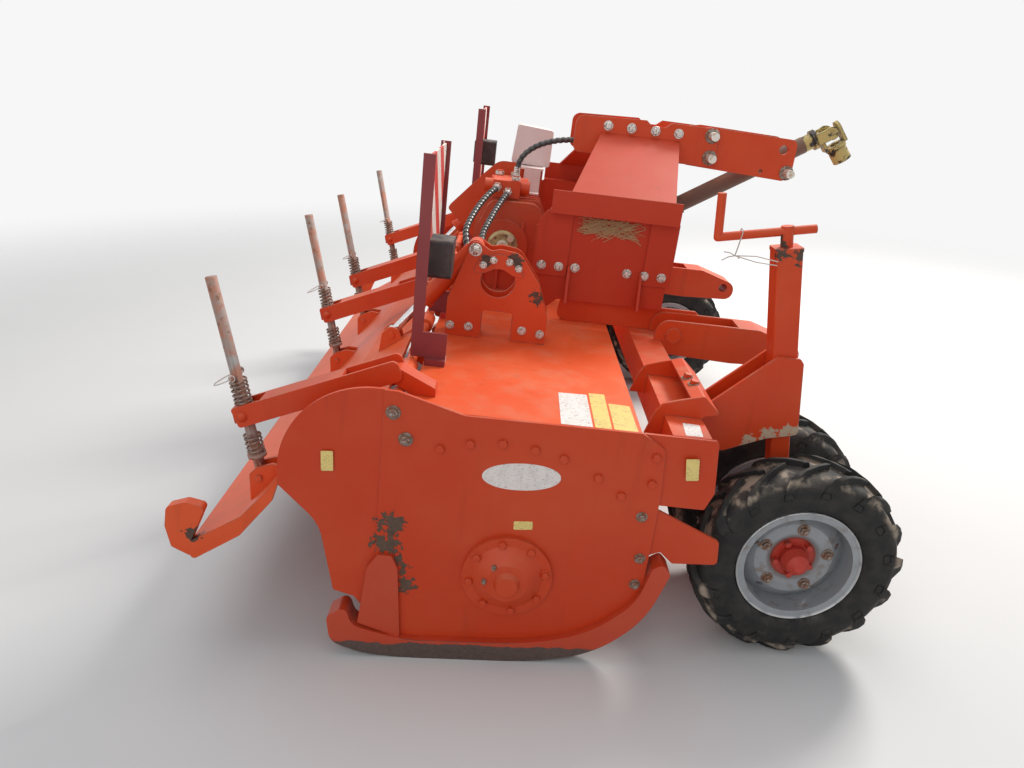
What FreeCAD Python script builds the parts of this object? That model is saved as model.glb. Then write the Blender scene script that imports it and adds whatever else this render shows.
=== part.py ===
import FreeCAD, Part
import math
import os

from FreeCAD import Rotation, Vector

# Trailed-side view of the frame: +X is the direction of travel, +Y the machine's left, +Z up.
# Everything is drawn level, about the middle of the rotor shaft, then stood nose down as it parks.

# Whole machine
half_width = 1320.0  # middle to the outer face of an end plate
plate_t = 10.0  # end plates
park_pitch = 4.5  # degrees nose down, on its skids and wheels
fit_gap = 0.05  # radial clearance of a running fit
seat_gap = 0.3  # clearance of pieces that rest on each other

# Rotor
shaft_r = 50.0
rotor_flange_r = 105.0
rotor_flange_t = 12.0
flange_count = 10
flange_inset = 130.0
blades_per_side = 3
blade_tip_r = 245.0
blade_t = 9.0
blade_foot = 72.0
stub_r = 32.0
rotor_end_gap = 8.0
stub_reach = 26.0  # into its bearing, past the outer face of the end plate

# Hood over the rotor
deck_z = 447.0
deck_t = 8.0
deck_front = 290.0
deck_rear = -296.0
liner_r = 360.0
liner_t = 7.0
liner_front_deg = 34.0
liner_rear_deg = 145.0
hood_seam_deg = 16.0  # each seam of the hood sheets, from straight up

# Front beam
beam_size = 100.0
beam_x = 368.0
beam_wall = 8.0

# Skids
skid_h = 60.0
skid_w = 62.0
skid_out = 20.0
skid_gap = 0.3

# Bearing cap of the right end
cap_r = 120.0
cap_t = 14.0
cap_cone_r = 88.0
cap_cone_h = 46.0

# Side gear case of the left end and the cross shaft that drives it
cross_x = -110.0
cross_z = 638.0
cross_r = 46.0
case_low_r = 150.0
case_top_r = 158.0
case_depth = 96.0
case_rim = 12.0

# Gearbox
gearbox_x0 = -226.0
gearbox_x1 = 62.0
gearbox_half = 140.0
gearbox_top = 800.0
gearbox_rib = 14.0
input_z = 590.0
input_r = 62.0
input_len = 58.0
cover_r = 57.0

# Headstock
head_y = 420.0  # outer face of the side sheets
head_t = 8.0
head_x0 = 14.0
head_x1 = 470.0
head_base_z = 529.0
flange_z0 = 830.0
flange_z1 = 905.0
flange_y = 462.0
top_y = 112.0  # outer face of the top plates
top_t = 12.0
top_z0 = 1005.0
top_z1 = 1138.0
top_x0 = 107.0
top_x1 = 613.0
arm_t = 14.0
arm_x0 = 520.0
arm_x1 = 921.0
link_x = 875.0
link_z = 1094.0
link_bore_r = 16.5
pin_r = 15.0
pin_out = 52.0
rest_pin_x = 902.0
rest_pin_z = 1015.0

# Lower hitch arms
hitch_y = 450.0  # middle of an arm
hitch_w = 120.0
hitch_wall = 12.0
hitch_z0 = 392.0
hitch_z1 = 520.0
hitch_x0 = 507.0
hitch_x1 = 905.0
hitch_eye_z = 452.0
hitch_eye_r = 48.0
hitch_bore_r = 18.6
bush_wall = 9.0
base_t = 15.0
hitch_bolt_r = 20.0

# Cardan shaft, parked on the rest pin
cardan_r = 31.0
cardan_x0 = 150.0
cardan_x1 = 1058.0
yoke_r = 38.0
yoke_neck = 50.0  # from the cross to the solid part of a yoke
yoke_len = 118.0
yoke_bore_r = 17.5

# Arch brackets of the flap cylinders
arch_y = 660.0
arch_gap = 66.0
arch_t = 8.0
toe_depth = 30.0
guard_t = 6.0
shelf_z = 899.0  # underside of the control box's shelf
arch_hole_r = 54.0
port_y = arch_y - arch_gap / 2 - arch_t - 28.0

# Flap and its hinge
hinge_x = -330.0
hinge_z = 448.0
hinge_r = 14.0
knuckle_r = 24.0
flap_t = 8.0
flap_side_gap = 8.0

# Spring rods
rod_r = 14.5
eye_x = -688.0
eye_z = 160.0
rod_tip_x = -811.0
rod_tip_z = 692.0
trunnion_up = 182.0  # along the rod, above its eye
trunnion_r = 13.0
trunnion_block = 20.0
arm_gap = 54.0
arm_depth = 56.0
arm_plate = 8.0
spring_r = 25.0
spring_up_len = 76.0
spring_low_len = 62.0
spring_low_drop = 58.0
lug_gap = 34.0
lug_t = 10.0
lug_pin_r = 9.0
rod_inset = 122.0  # outer rods, from the end plate
rod_inner_y = 262.0

# Flap cylinders
barrel_r = 29.0
barrel_len = 215.0
port_at = 92.0  # upper port, from the top pin
piston_r = 14.0
cyl_top_x = -188.0
cyl_top_z = 728.0
cyl_low_x = -432.0
cyl_low_z = 421.0
cyl_pin_r = 10.0

# Wheels
leg_y = 1040.0
tyre_r = 276.0
lug_h = 14.0
tyre_w = 156.0
tyre_offset = 162.0
rim_r = 152.0
rim_flange_r = 170.0
wheel_x = 790.0
lug_pairs = 15
lug_w = 26.0
lug_sweep = 26.0  # degrees, from the middle to the shoulder
tyre_facets = 18
axle_r = 26.0

# Leg: fixed sleeve and the inner tube that slides in it
rake = 11.1
sleeve_size = 68.0
sleeve_wall = 7.0
sleeve_top = 890.0
sleeve_len = 520.0
leg_clear = 0.3
leg_size = sleeve_size - 2 * (sleeve_wall + leg_clear)
gusset_t = 10.0

# Marker boards and lamps: side, x, top z
board_inset = 340.0  # outer post, in from the end plate
board_width = 460.0
lamp_inset = 180.0  # from the outer post
post_w = 32.0
board_h = 380.0
lamp_w = 68.0
lamp_h = 112.0

hose_r = 9.0
port_r = 12.0
port_len = 28.0
rear_port = (-203.0, 672.0)  # x, z on the right arch bracket
front_port = (-166.0, 694.0)
head_port = (-40.0, 1040.0)  # y, z on the head's cross plate

sides = ((-1.0, "right"), (1.0, "left"))
SOFT = -1.0


def rounded(corners):
    """Closed edges through corners (a, b) or (a, b, radius); a radius of SOFT is as large as fits."""
    count = len(corners)
    spans = []
    for i, corner in enumerate(corners):
        here = Vector(corner[0], corner[1], 0)
        if len(corner) < 3 or not corner[2]:
            spans.append((here, None, here))
            continue
        before = Vector(*corners[i - 1][:2], 0) - here
        after = Vector(*corners[(i + 1) % count][:2], 0) - here
        shorter = min(before.Length, after.Length)
        back, ahead = before.normalize(), after.normalize()
        half = back.getAngle(ahead) / 2
        radius = 0.48 * shorter * math.tan(half) if corner[2] == SOFT else corner[2]
        reach = radius / math.tan(half)
        middle = (back + ahead).normalize()
        peak = here + middle * (radius / math.sin(half) - radius)
        spans.append((here + back * reach, peak, here + ahead * reach))
    edges = []
    for i, (start, peak, end) in enumerate(spans):
        if peak is not None:
            edges.append(Part.Arc(start, peak, end).toShape())
        following = spans[(i + 1) % count][0]
        if end.distanceToPoint(following) > 1e-6:
            edges.append(Part.LineSegment(end, following).toShape())
    return edges


def plate(corners, y0, y1, holes=()):
    """Side profile in X and Z, from y0 to y1, with (x, z, radius) holes."""
    face = Part.Face(Part.Wire(Part.__sortEdges__(rounded(corners))))
    body = face.extrude(Vector(0, 0, y1 - y0))
    for hole in holes:
        body = body.cut(Part.makeCylinder(hole[2], y1 - y0, Vector(hole[0], hole[1], 0)))
    body.rotate(Vector(), Vector(1, 0, 0), 90)
    body.translate(Vector(0, y1, 0))
    return body


def box(x0, x1, y0, y1, z0, z1):
    """Block between two corners."""
    return Part.makeBox(x1 - x0, y1 - y0, z1 - z0, Vector(x0, y0, z0))


def rod(start, end, radius):
    """Round bar between two points."""
    axis = end - start
    return Part.makeCylinder(radius, axis.Length, start, axis)


def pin(x, z, y0, y1, radius):
    """Round bar along Y at x, z."""
    return rod(Vector(x, y0, z), Vector(x, y1, z), radius)


def turned(profile, x, z, y=0.0, sign=1.0):
    """Solid of (radius, y) corners turned about the Y line through x, z."""
    points = [Vector(r, sign * h, 0) for r, h in profile]
    face = Part.Face(Part.makePolygon(points + points[:1]))
    body = face.revolve(Vector(), Vector(0, 1, 0), 360)
    body.translate(Vector(x, y, z))
    return body if body.Volume > 0 else body.reversed()


def fused(shapes):
    """One solid of shapes that meet."""
    body = shapes[0].multiFuse(list(shapes[1:])) if len(shapes) > 1 else shapes[0]
    return body.removeSplitter()


def mirrored(shape):
    """The same shape on the other side of the machine."""
    return shape.mirror(Vector(), Vector(0, 1, 0))


def pair(shape):
    """The right-hand piece and its left-hand mirror image."""
    return [shape, mirrored(shape)]


def along(angle):
    """Direction in the side view, in degrees up from straight ahead."""
    a = math.radians(angle)
    return Vector(math.cos(a), 0, math.sin(a))


parts = {}

# Ground line under the level drawing, through the lowest point of the tyres.
pitch = math.radians(park_pitch)
axis_height = 271.4
wheel_z = (tyre_r + lug_h - axis_height + wheel_x * math.sin(pitch)) / math.cos(pitch)


def ground(x, clear=0.0):
    """Height of the ground in the level drawing."""
    return (x * math.sin(pitch) - axis_height + clear) / math.cos(pitch)


# Skid: lower edge and the matching upper edge, which the end plate sits on.
skid_low = (
    (-474.0, -180.0, 24.0),
    (-462.0, -262.0, 46.0),
    (-372.0, ground(-372.0, 10.0), SOFT),
    (-250.0, ground(-250.0), SOFT),
    (96.0, ground(96.0), SOFT),
    (262.0, -216.0, SOFT),
    (384.0, -92.0, SOFT),
    (428.0, 64.0, 18.0),
)
skid_top = (
    (402.0, 92.0, 12.0),
    (377.0, 74.0, 12.0),
    (352.0, -40.0, SOFT),
    (232.0, -158.0, SOFT),
    (70.0, ground(70.0, skid_h), SOFT),
    (-262.0, ground(-262.0, skid_h), SOFT),
    (-366.0, -212.0, SOFT),
    (-404.0, -200.0, SOFT),
    (-424.0, -140.0, 18.0),
)
bracket_outline = (
    (-390.0, -196.0),
    (-372.0, -16.0, 8.0),
    (-345.0, 28.0, 6.0),
    (-308.0, 28.0, 6.0),
    (-290.0, -10.0, 8.0),
    (-272.0, ground(-272.0, skid_h)),
)

# End plates
end_plate_outline = (
    (290.0, 450.0, 4.0),
    (-150.0, 446.0, 80.0),
    (-318.0, 492.0, 20.0),
    (-612.0, 494.0, 245.0),
    (-614.0, 200.0, 14.0),
    (-505.0, 96.0, 130.0),
    (-462.0, -108.0, 8.0),
    (-405.0, -122.0, 10.0),
    (-346.0, -196.0, 10.0),
    (-262.0, ground(-262.0, skid_h / 2)),
    (368.0, ground(368.0, skid_h / 2)),
    (364.0, 280.0),
    (354.0, 412.0, 26.0),
)
extension_outline = (
    (296.0, 250.0),
    (296.0, 446.0),
    (484.0, 446.0, 10.0),
    (502.0, 300.0, 12.0),
    (484.0, 250.0, 6.0),
)
lower_outline = (
    (330.0, 236.0),
    (366.0, 236.0),
    (543.0, 160.0, 12.0),
    (552.0, 90.0, 12.0),
    (432.0, 80.0, 10.0),
    (395.0, 112.0, 10.0),
    (330.0, 82.0),
)
rear_lap_x = -352.0


def end_plate():
    """Right end plate with the front extension, the lower bracket and the lapped rear part."""
    outer = -half_width
    inner = outer + plate_t
    whole = plate(end_plate_outline, outer, inner)
    lap = box(-700, rear_lap_x, outer, outer + plate_t / 2, -300, 600)
    step = whole.common(box(-700, rear_lap_x, outer, inner, -300, 600))
    step.translate(Vector(0, plate_t / 2, 0))
    whole = whole.cut(lap).fuse(step)
    below = skid_top + ((-560.0, -140.0), (-560.0, -500.0), (560.0, -500.0), (560.0, 92.0))
    seat = plate(below, outer - 1, inner + 10)
    seat.translate(Vector(0, 0, skid_gap))
    bore = pin(0, 0, outer - 1, inner + 10, stub_r + 6)
    plates = [
        whole.cut(seat),
        plate(extension_outline, inner, inner + 9),
        plate(lower_outline, inner, inner + 9),
    ]
    return fused(plates).cut(bore)


right_plate = end_plate()
parts["end_plate_right"] = [right_plate]
parts["end_plate_left"] = [mirrored(right_plate)]


def skid():
    """Curved runner under the end plate with its bracket."""
    outer = -half_width - skid_out
    bar = plate(skid_low + skid_top, outer, outer + skid_w)
    bracket = plate(bracket_outline, -half_width - 12, -half_width - seat_gap)
    return fused([bar, bracket])


parts["skids"] = pair(skid())


def bearing_cap():
    """Flanged cone over the rotor's right-hand bearing."""
    profile = (
        (0, 0),
        (cap_r, 0),
        (cap_r, cap_t),
        (cap_cone_r + 8, cap_t),
        (cap_cone_r, cap_t + 6),
        (cap_cone_r * 0.62, cap_t + cap_cone_h * 0.62),
        (cap_cone_r * 0.40, cap_t + cap_cone_h * 0.66),
        (cap_cone_r * 0.32, cap_t + cap_cone_h),
        (0, cap_t + cap_cone_h),
    )
    body = turned(profile, 0, 0, -half_width, -1.0)
    return body.cut(stub_bore())


def stub_bore():
    """Running bore of the rotor's end stubs, blind in both bearings."""
    reach = half_width + stub_reach + 0.5
    return pin(0, 0, -reach, reach, stub_r + fit_gap)


parts["bearing_cap"] = [bearing_cap()]


def hull_of_circles(x0, z0, r0, x1, z1, r1, y0, y1):
    """Straight-sided case around two circles."""
    run = Vector(x1 - x0, z1 - z0, 0)
    lean = math.acos((r0 - r1) / run.Length)
    base = math.atan2(run.y, run.x)
    tangents = [Vector(math.cos(base + s * lean), math.sin(base + s * lean), 0) for s in (1, -1)]
    low = [Vector(x0, z0, 0) + t * r0 for t in tangents]
    top = [Vector(x1, z1, 0) + t * r1 for t in tangents]
    far_low = Vector(x0 - r0 * math.cos(base), z0 - r0 * math.sin(base), 0)
    far_top = Vector(x1 + r1 * math.cos(base), z1 + r1 * math.sin(base), 0)
    edges = [
        Part.LineSegment(low[0], top[0]).toShape(),
        Part.Arc(top[0], far_top, top[1]).toShape(),
        Part.LineSegment(top[1], low[1]).toShape(),
        Part.Arc(low[1], far_low, low[0]).toShape(),
    ]
    body = Part.Face(Part.Wire(edges)).extrude(Vector(0, 0, y1 - y0))
    body.rotate(Vector(), Vector(1, 0, 0), 90)
    body.translate(Vector(0, y1, 0))
    return body


def side_case():
    """Flanged case of the side gears, on the outside of the left end plate."""
    y0 = half_width
    rim = hull_of_circles(
        0, 0, case_low_r, cross_x, cross_z, case_top_r, y0, y0 + case_rim
    )
    body = hull_of_circles(
        0, 0, case_low_r - 18, cross_x, cross_z, case_top_r - 18, y0 + case_rim, y0 + case_depth - 14
    )
    crown = hull_of_circles(
        0, 0, case_low_r - 34, cross_x, cross_z, case_top_r - 34, y0 + case_depth - 14, y0 + case_depth
    )
    inner = pin(cross_x, cross_z, y0 - 40, y0, case_top_r - 30)
    hubs = [
        pin(0, 0, y0 + case_depth, y0 + case_depth + 16, 62),
        pin(cross_x, cross_z, y0 + case_depth, y0 + case_depth + 16, 58),
    ]
    return fused([rim, body, crown, inner] + hubs).cut(stub_bore())


parts["side_gear_case"] = [side_case()]
parts["cross_shaft_tube"] = [
    fused(
        [
            pin(cross_x, cross_z, gearbox_half + 22, half_width - 40 - 14, cross_r),
            pin(cross_x, cross_z, gearbox_half, gearbox_half + 22, cross_r + 28),
            pin(cross_x, cross_z, half_width - 40 - 14, half_width - 40, cross_r + 26),
        ]
    )
]

inner_y = half_width - plate_t


def deck():
    """Top sheet with its front and rear walls, down to the back of the liner."""
    half = inner_y - seat_gap
    pieces = [box(deck_rear, deck_front, -half, half, deck_z - deck_t, deck_z)]
    for x0 in (deck_rear, deck_front - deck_t):
        pieces.append(box(x0, x0 + deck_t, -half, half, liner_r / 2, deck_z))
    return fused(pieces).cut(pin(0, 0, -half, half, liner_r + seat_gap / 3))


parts["deck"] = [deck()]


def rotor_hood():
    """Three rolled sheets around the rotor, butted at two lengthwise seams."""
    half = inner_y - seat_gap
    ring = turned(
        ((liner_r - liner_t, -half), (liner_r, -half), (liner_r, half), (liner_r - liner_t, half)), 0, 0
    )
    reach = liner_r * 1.6
    seam = math.degrees(seat_gap / liner_r) / 2
    front_seam, rear_seam = 90.0 - hood_seam_deg, 90.0 + hood_seam_deg
    spans = (  # first and last angle of each sheet
        (liner_front_deg, front_seam - seam),
        (front_seam + seam, rear_seam - seam),
        (rear_seam + seam, liner_rear_deg),
    )
    sheets = []
    for first, last in spans:
        a, b = along(first) * reach, along(last) * reach
        tip = along((first + last) / 2) * reach * 1.4
        wedge = ((0, 0), (a.x, a.z), (tip.x, tip.z), (b.x, b.z))
        sheets.append(ring.common(plate(wedge, -half - 1, half + 1)))
    return sheets


parts["rotor_hood"] = rotor_hood()


def front_beam():
    """Square tube across the front with its walls closed at the ends."""
    y = inner_y + 0.0
    z1 = deck_z
    outer = box(beam_x, beam_x + beam_size, -y + 9, y - 9, z1 - beam_size, z1)
    wall = beam_wall
    inner = box(
        beam_x + wall, beam_x + beam_size - wall, -y, y, z1 - beam_size + wall, z1 - wall
    )
    return outer.cut(inner)


parts["front_beam"] = [front_beam()]

# Leg axis: the sleeve leans, its foot forward.
lean = math.radians(rake)
leg_dir = Vector(-math.sin(lean), 0, math.cos(lean))
leg_top = Vector(wheel_x - (sleeve_top - wheel_z) * math.tan(lean), -leg_y, sleeve_top)
leg_foot = leg_top - leg_dir * sleeve_len


def square_tube(start, end, size, wall, radius=6.0):
    """Square tube between two points in the side view, open at both ends."""
    axis = end - start
    half = size / 2
    corner = ((half, half, radius), (-half, half, radius), (-half, -half, radius), (half, -half, radius))
    outer = Part.Face(Part.Wire(Part.__sortEdges__(rounded(corner)))).extrude(Vector(0, 0, axis.Length))
    body = outer
    if wall:
        core = half - wall
        inner = Part.makeBox(2 * core, 2 * core, axis.Length, Vector(-core, -core, 0))
        body = outer.cut(inner)
    angle = math.degrees(math.atan2(axis.x, axis.z))
    body.rotate(Vector(), Vector(0, 1, 0), angle)
    body.translate(start)
    return body


def clamp():
    """Two hat-shaped ribs over the beam, joined in front by a sloped strip with two bolts."""
    beam_end = beam_x + beam_size + seat_gap
    rib = (
        (beam_x - 45.0, 389.0),
        (beam_x - 27.0, 450.0, 14.0),
        (beam_x - 9.0, 478.0, 16.0),
        (400.0, 492.0, 30.0),
        (464.0, 510.0, 8.0),
        (511.0, 467.0, 2.0),
        (505.0, 461.0, 2.0),
        (beam_end + 6, 454.0, 4.0),
        (beam_end, deck_z + seat_gap),
        (beam_x - seat_gap, deck_z + seat_gap),
        (beam_x - seat_gap, 389.0),
    )
    strip = (
        (430.0, 500.5),
        (464.0, 510.0, 8.0),
        (511.0, 467.0, 2.0),
        (505.0, 461.0, 2.0),
        (462.0, 501.0, 4.0),
        (432.0, 492.5),
    )
    near, far = -leg_y - 135, -leg_y + 165
    pieces = [plate(strip, near + 2, far + 2)]
    for y in (near, far):
        pieces.append(plate(rib, y, y + 8))
    for x, y in ((447.0, -leg_y + 15), (455.0, -leg_y - 35)):
        pieces.append(square_tube(Vector(x, y, 500.0), Vector(x + 2, y, 517.0), 19.0, 0, 2.0))
    return fused(pieces)


parts["wheel_clamps"] = pair(clamp())

gusset_outline = (
    (beam_x + beam_size + 0.3, 452.0),
    (512.0, 464.0, 6.0),
    (655.0, 603.0, 6.0),
    (664.0, 612.0, 4.0),
    (725.0, 613.0, 10.0),
    (736.0, 600.0, 8.0),
    (771.0, 392.0, 14.0),
    (686.0, 372.0, 80.0),
    (566.0, 318.0, 30.0),
    (beam_x + beam_size + 0.3, 352.0, 10.0),
)


def leg_sleeve():
    """Raked post with its lid, gussets and floor plate."""
    post = square_tube(leg_foot, leg_top, sleeve_size, sleeve_wall)
    past = leg_dir * 50
    core = square_tube(leg_foot - past, leg_top + past, sleeve_size - 2 * sleeve_wall, 0, 0.0)
    half = sleeve_size / 2
    gussets = []
    for y in (-leg_y - half - gusset_t, -leg_y + half):
        gussets.append(plate(gusset_outline, y, y + gusset_t))
    floor_plate = plate(
        (
            (beam_x + beam_size + 0.3, 352.0),
            (566.0, 320.0),
            (640.0, 352.0),
            (636.0, 362.0),
            (566.0, 331.0),
            (beam_x + beam_size + 0.3, 363.0),
        ),
        -leg_y - half,
        -leg_y + half,
    ).cut(core)
    lid = square_tube(leg_top, leg_top + leg_dir * 10, sleeve_size + 3, 0, 6.0)
    return fused([post] + gussets + [floor_plate, lid]).cut(clamp())


parts["leg_sleeves"] = pair(leg_sleeve())


def crank():
    """Screw spindle end with its bent handle."""
    base = leg_top + leg_dir * (10 + seat_gap)
    knob = base + leg_dir * 40
    bar_r = 11.5
    spindle = rod(base, knob + leg_dir * 14, 16)
    level = Vector(1, 0, math.tan(math.radians(11.5))).normalize()
    start = knob + level * 74
    bend = knob - level * 178
    grip = bend + Vector(-12, 0, 112)
    pieces = [spindle, rod(start, bend, bar_r), Part.makeSphere(bar_r, bend), rod(bend, grip, bar_r)]
    return fused(pieces)


parts["cranks"] = pair(crank())


def inner_leg():
    """Tube that slides in the sleeve, with the axle across its foot."""
    top = leg_foot + leg_dir * 240
    post = square_tube(Vector(wheel_x, -leg_y, wheel_z), top, leg_size, 6.0, 4.0)
    reach = tyre_offset - tyre_w / 2 - 10
    axle = pin(wheel_x, wheel_z, -leg_y - reach, -leg_y + reach, axle_r + 12)
    stub = pin(wheel_x, wheel_z, -leg_y - tyre_offset - 40, -leg_y + tyre_offset + 40, axle_r)
    return fused([post, axle, stub])


leg_piece = inner_leg()
parts["inner_leg_right"] = [leg_piece]
parts["inner_leg_left"] = [mirrored(leg_piece)]


def facets(profile, steps, phase):
    """Ring of flat faces through (radius, y) corners, about the Y axis."""
    rings = []
    for i in range(steps):
        a = 2 * math.pi * i / steps + math.radians(phase)
        rings.append([wheel_point(r, y, a) for r, y in profile])
    faces = []
    for here, ahead in zip(rings, rings[1:] + rings[:1]):
        for j in range(len(profile)):
            k = (j + 1) % len(profile)
            faces.append(Part.Face(Part.makePolygon([here[j], here[k], ahead[k], ahead[j], here[j]])))
    return shell_solid(faces)


def shell_solid(faces):
    """Solid inside a closed set of faces."""
    solid = Part.Solid(Part.Shell(faces))
    if solid.Volume < 0:
        solid.reverse()
    return solid


def tyre():
    """Narrow traction tyre about its own middle, with chevron lugs."""
    half = tyre_w / 2
    bead = half * 0.72 - seat_gap
    spread = 1 / math.cos(math.pi / tyre_facets)  # corners stand off the round rim
    side = (
        (tyre_r - 4, half * 0.62),
        (tyre_r - 22, half * 0.92),
        (tyre_r - 62, half),
        ((rim_flange_r + 2) * spread, bead),
        ((rim_r + seat_gap) * spread, bead),
    )
    profile = [(r, -y) for r, y in side[::-1]] + list(side)
    lugs = []
    for sign in (-1, 1):
        for i in range(lug_pairs):
            angle = 360.0 / lug_pairs * (i + (0.5 if sign > 0 else 0.0))
            lugs.append(tyre_lug(sign, angle))
    return facets(profile, tyre_facets, 9.0).multiFuse(lugs)


def tyre_lug(side, angle):
    """One slanted lug from the middle of the tread to the shoulder, all of flat faces."""
    half = tyre_w / 2
    # across the tread, share of the sweep, radius of the top, radius of the foot
    stations = (
        (side * -4.0, 0.0, tyre_r + lug_h, tyre_r - 14),
        (side * half * 0.60, 0.62, tyre_r + lug_h - 3, tyre_r - 18),
        (side * half * 0.90, 0.95, tyre_r - 9, tyre_r - 40),
    )
    rings = []
    for y, share, top_r, foot_r in stations:
        middle = math.radians(angle + share * lug_sweep)
        ring = []
        for w in (-lug_w / 2, lug_w / 2):
            top = wheel_point(top_r, y, middle + 0.72 * w / tyre_r)
            turn = middle + w / tyre_r
            if rings:
                turn = in_plane(*rings[-1][len(ring)], top, foot_r, y, turn)
            ring.append((wheel_point(foot_r, y, turn), top))
        rings.append(ring)
    loops = [[left[0], left[1], right[1], right[0]] for left, right in rings]
    polygons = [loops[0][:3], loops[0][2:] + loops[0][:1], loops[-1][:3], loops[-1][2:] + loops[-1][:1]]
    for here, ahead in zip(loops, loops[1:]):
        for j in (0, 2):
            polygons.append([here[j], here[j + 1], ahead[j + 1], ahead[j]])
        for j in (1, 3):
            k = (j + 1) % 4
            polygons += [[here[j], here[k], ahead[k]], [here[j], ahead[k], ahead[j]]]
    return shell_solid([Part.Face(Part.makePolygon(p + p[:1])) for p in polygons])


def wheel_point(r, y, turn):
    """Point at a radius and turn about a wheel's axle."""
    return Vector(r * math.cos(turn), y, r * math.sin(turn))


def in_plane(foot, top, next_top, foot_r, y, turn):
    """Turn near the given one at which the next foot lies in the plane of the three points."""
    normal = (top - foot).cross(next_top - foot)
    reach = foot_r * math.hypot(normal.x, normal.z)
    spread = math.acos((normal.dot(foot) - normal.y * y) / reach)
    middle = math.atan2(normal.z, normal.x)
    return min((middle + spread, middle - spread), key=lambda a: abs(math.remainder(a - turn, 2 * math.pi)))


def rim():
    """Dished wheel with its hub, about the middle of its tyre; the dish faces -Y."""
    half = tyre_w / 2
    flange = half * 0.72
    ring = turned(
        (
            (rim_r - 5, -flange - 4),
            (rim_flange_r - 7, -flange - 4),
            (rim_flange_r - 2, -flange - 10),
            (rim_flange_r, -flange - 8),
            (rim_flange_r - 1, -flange),
            (rim_r, -flange),
            (rim_r, flange),
            (rim_flange_r - 1, flange),
            (rim_flange_r, flange + 8),
            (rim_flange_r - 2, flange + 10),
            (rim_flange_r - 7, flange + 4),
            (rim_r - 5, flange + 4),
        ),
        0,
        0,
    )
    dish = turned(
        (
            (axle_r + fit_gap, -12),
            (58, -12),
            (78, -20),
            (108, -20),
            (rim_r - 4.5, 14),
            (rim_r - 4.5, 22),
            (106, -10),
            (80, -10),
            (60, -2),
            (axle_r + fit_gap, -2),
        ),
        0,
        0,
    )
    for i in range(5):
        a = math.radians(72 * i + 20)
        dish = dish.cut(pin(124 * math.cos(a), 124 * math.sin(a), -60, 60, 9))
    return fused([ring, dish])


def hub():
    """Hub shell with flange, cap and five wheel bolts; faces -Y."""
    body = turned(
        (
            (axle_r + fit_gap, -2),
            (64, -2),
            (64, 8),
            (46, 14),
            (46, 44),
            (axle_r + fit_gap, 44),
        ),
        0,
        0,
    )
    bore = axle_r + fit_gap
    cap = turned(
        ((0, -41), (bore, -41), (bore, -12), (38, -12), (40, -34), (30, -58), (14, -70), (0, -70)), 0, 0
    )
    bolts = [
        pin(72 * math.cos(a) * 0.72, 72 * math.sin(a) * 0.72, -30, -12, 8)
        for a in (math.radians(72 * i + 50) for i in range(5))
    ]
    return fused([body, cap] + bolts)


tyre_piece = tyre()
rim_piece = rim()
hub_piece = hub()
for sign, side in sides:
    tyres, rims = [], []
    for direction in (-1.0, 1.0):
        centre = Vector(wheel_x, sign * leg_y + direction * tyre_offset, wheel_z)
        for source, into in ((tyre_piece, tyres), (rim_piece, rims), (hub_piece, rims)):
            piece = source.copy() if direction < 0 else mirrored(source)
            piece.translate(centre)
            into.append(piece)
    parts["tyres_" + side] = tyres
    parts["wheel_rims_" + side] = [fused(rims[0:2]), fused(rims[2:4])]


# Rotor
def rotor_shaft():
    """Tube, end stubs and blade flanges."""
    half = inner_y - rotor_end_gap
    pieces = [pin(0, 0, -half, half, shaft_r)]
    pieces.append(pin(0, 0, -half_width - stub_reach, half_width + stub_reach, stub_r))
    for y in flange_rows():
        pieces.append(pin(0, 0, y - rotor_flange_t / 2, y + rotor_flange_t / 2, rotor_flange_r))
    for sign in (-1, 1):
        y0, y1 = sorted((sign * half, sign * (half - 16)))
        pieces.append(pin(0, 0, y0, y1, 86))
    return fused(pieces)


def flange_rows():
    """Y of the middle of each blade flange."""
    first = -half_width + flange_inset
    step = 2 * (half_width - flange_inset) / (flange_count - 1)
    return [first + step * i for i in range(flange_count)]


def blade():
    """L-shaped blade on the +Y face of a flange, its shank along +X."""
    shank = plate(
        (
            (58.0, -26.0),
            (100.0, -30.0),
            (blade_tip_r * 0.72, -44.0),
            (blade_tip_r * 0.84, -92.0),
            (blade_tip_r * 0.93, -72.0),
            (blade_tip_r * 0.975, -12.0),
            (blade_tip_r * 0.74, 20.0),
            (58.0, 28.0),
        ),
        0,
        blade_t,
    )
    a0, a1 = -21.0, -4.0
    ring = turned(
        (
            (blade_tip_r - blade_t, blade_t - 0.5),
            (blade_tip_r, blade_t - 0.5),
            (blade_tip_r, blade_foot),
            (blade_tip_r - blade_t, blade_foot),
        ),
        0,
        0,
    )
    low, high = along(a0) * 400, along(a1) * 400
    foot = ring.common(plate(((0, 0), (low.x, low.z), (high.x, high.z)), 0, blade_foot))
    root = blade_tip_r - blade_t - 14
    web = turned(
        ((root, 0), (blade_tip_r, 0), (blade_tip_r, blade_t), (root, blade_t)),
        0,
        0,
    ).common(plate(((0, 0), (low.x, low.z), (high.x, high.z)), 0, blade_t))
    return fused([shank, foot, web])


def rotor_blades():
    """All the blades, right- and left-handed, turned from flange to flange."""
    right = blade()
    left = mirrored(right)
    blades = []
    for row, y in enumerate(flange_rows()):
        for i in range(2 * blades_per_side):
            piece = (right if i % 2 == 0 else left).copy()
            face = rotor_flange_t / 2 if i % 2 == 0 else -rotor_flange_t / 2
            piece.rotate(Vector(), Vector(0, 1, 0), 360.0 / (2 * blades_per_side) * i + 23.0 * row)
            piece.translate(Vector(0, y + face, 0))
            blades.append(piece)
    return blades


parts["rotor_shaft"] = [rotor_shaft()]
parts["rotor_blades"] = rotor_blades()


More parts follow.
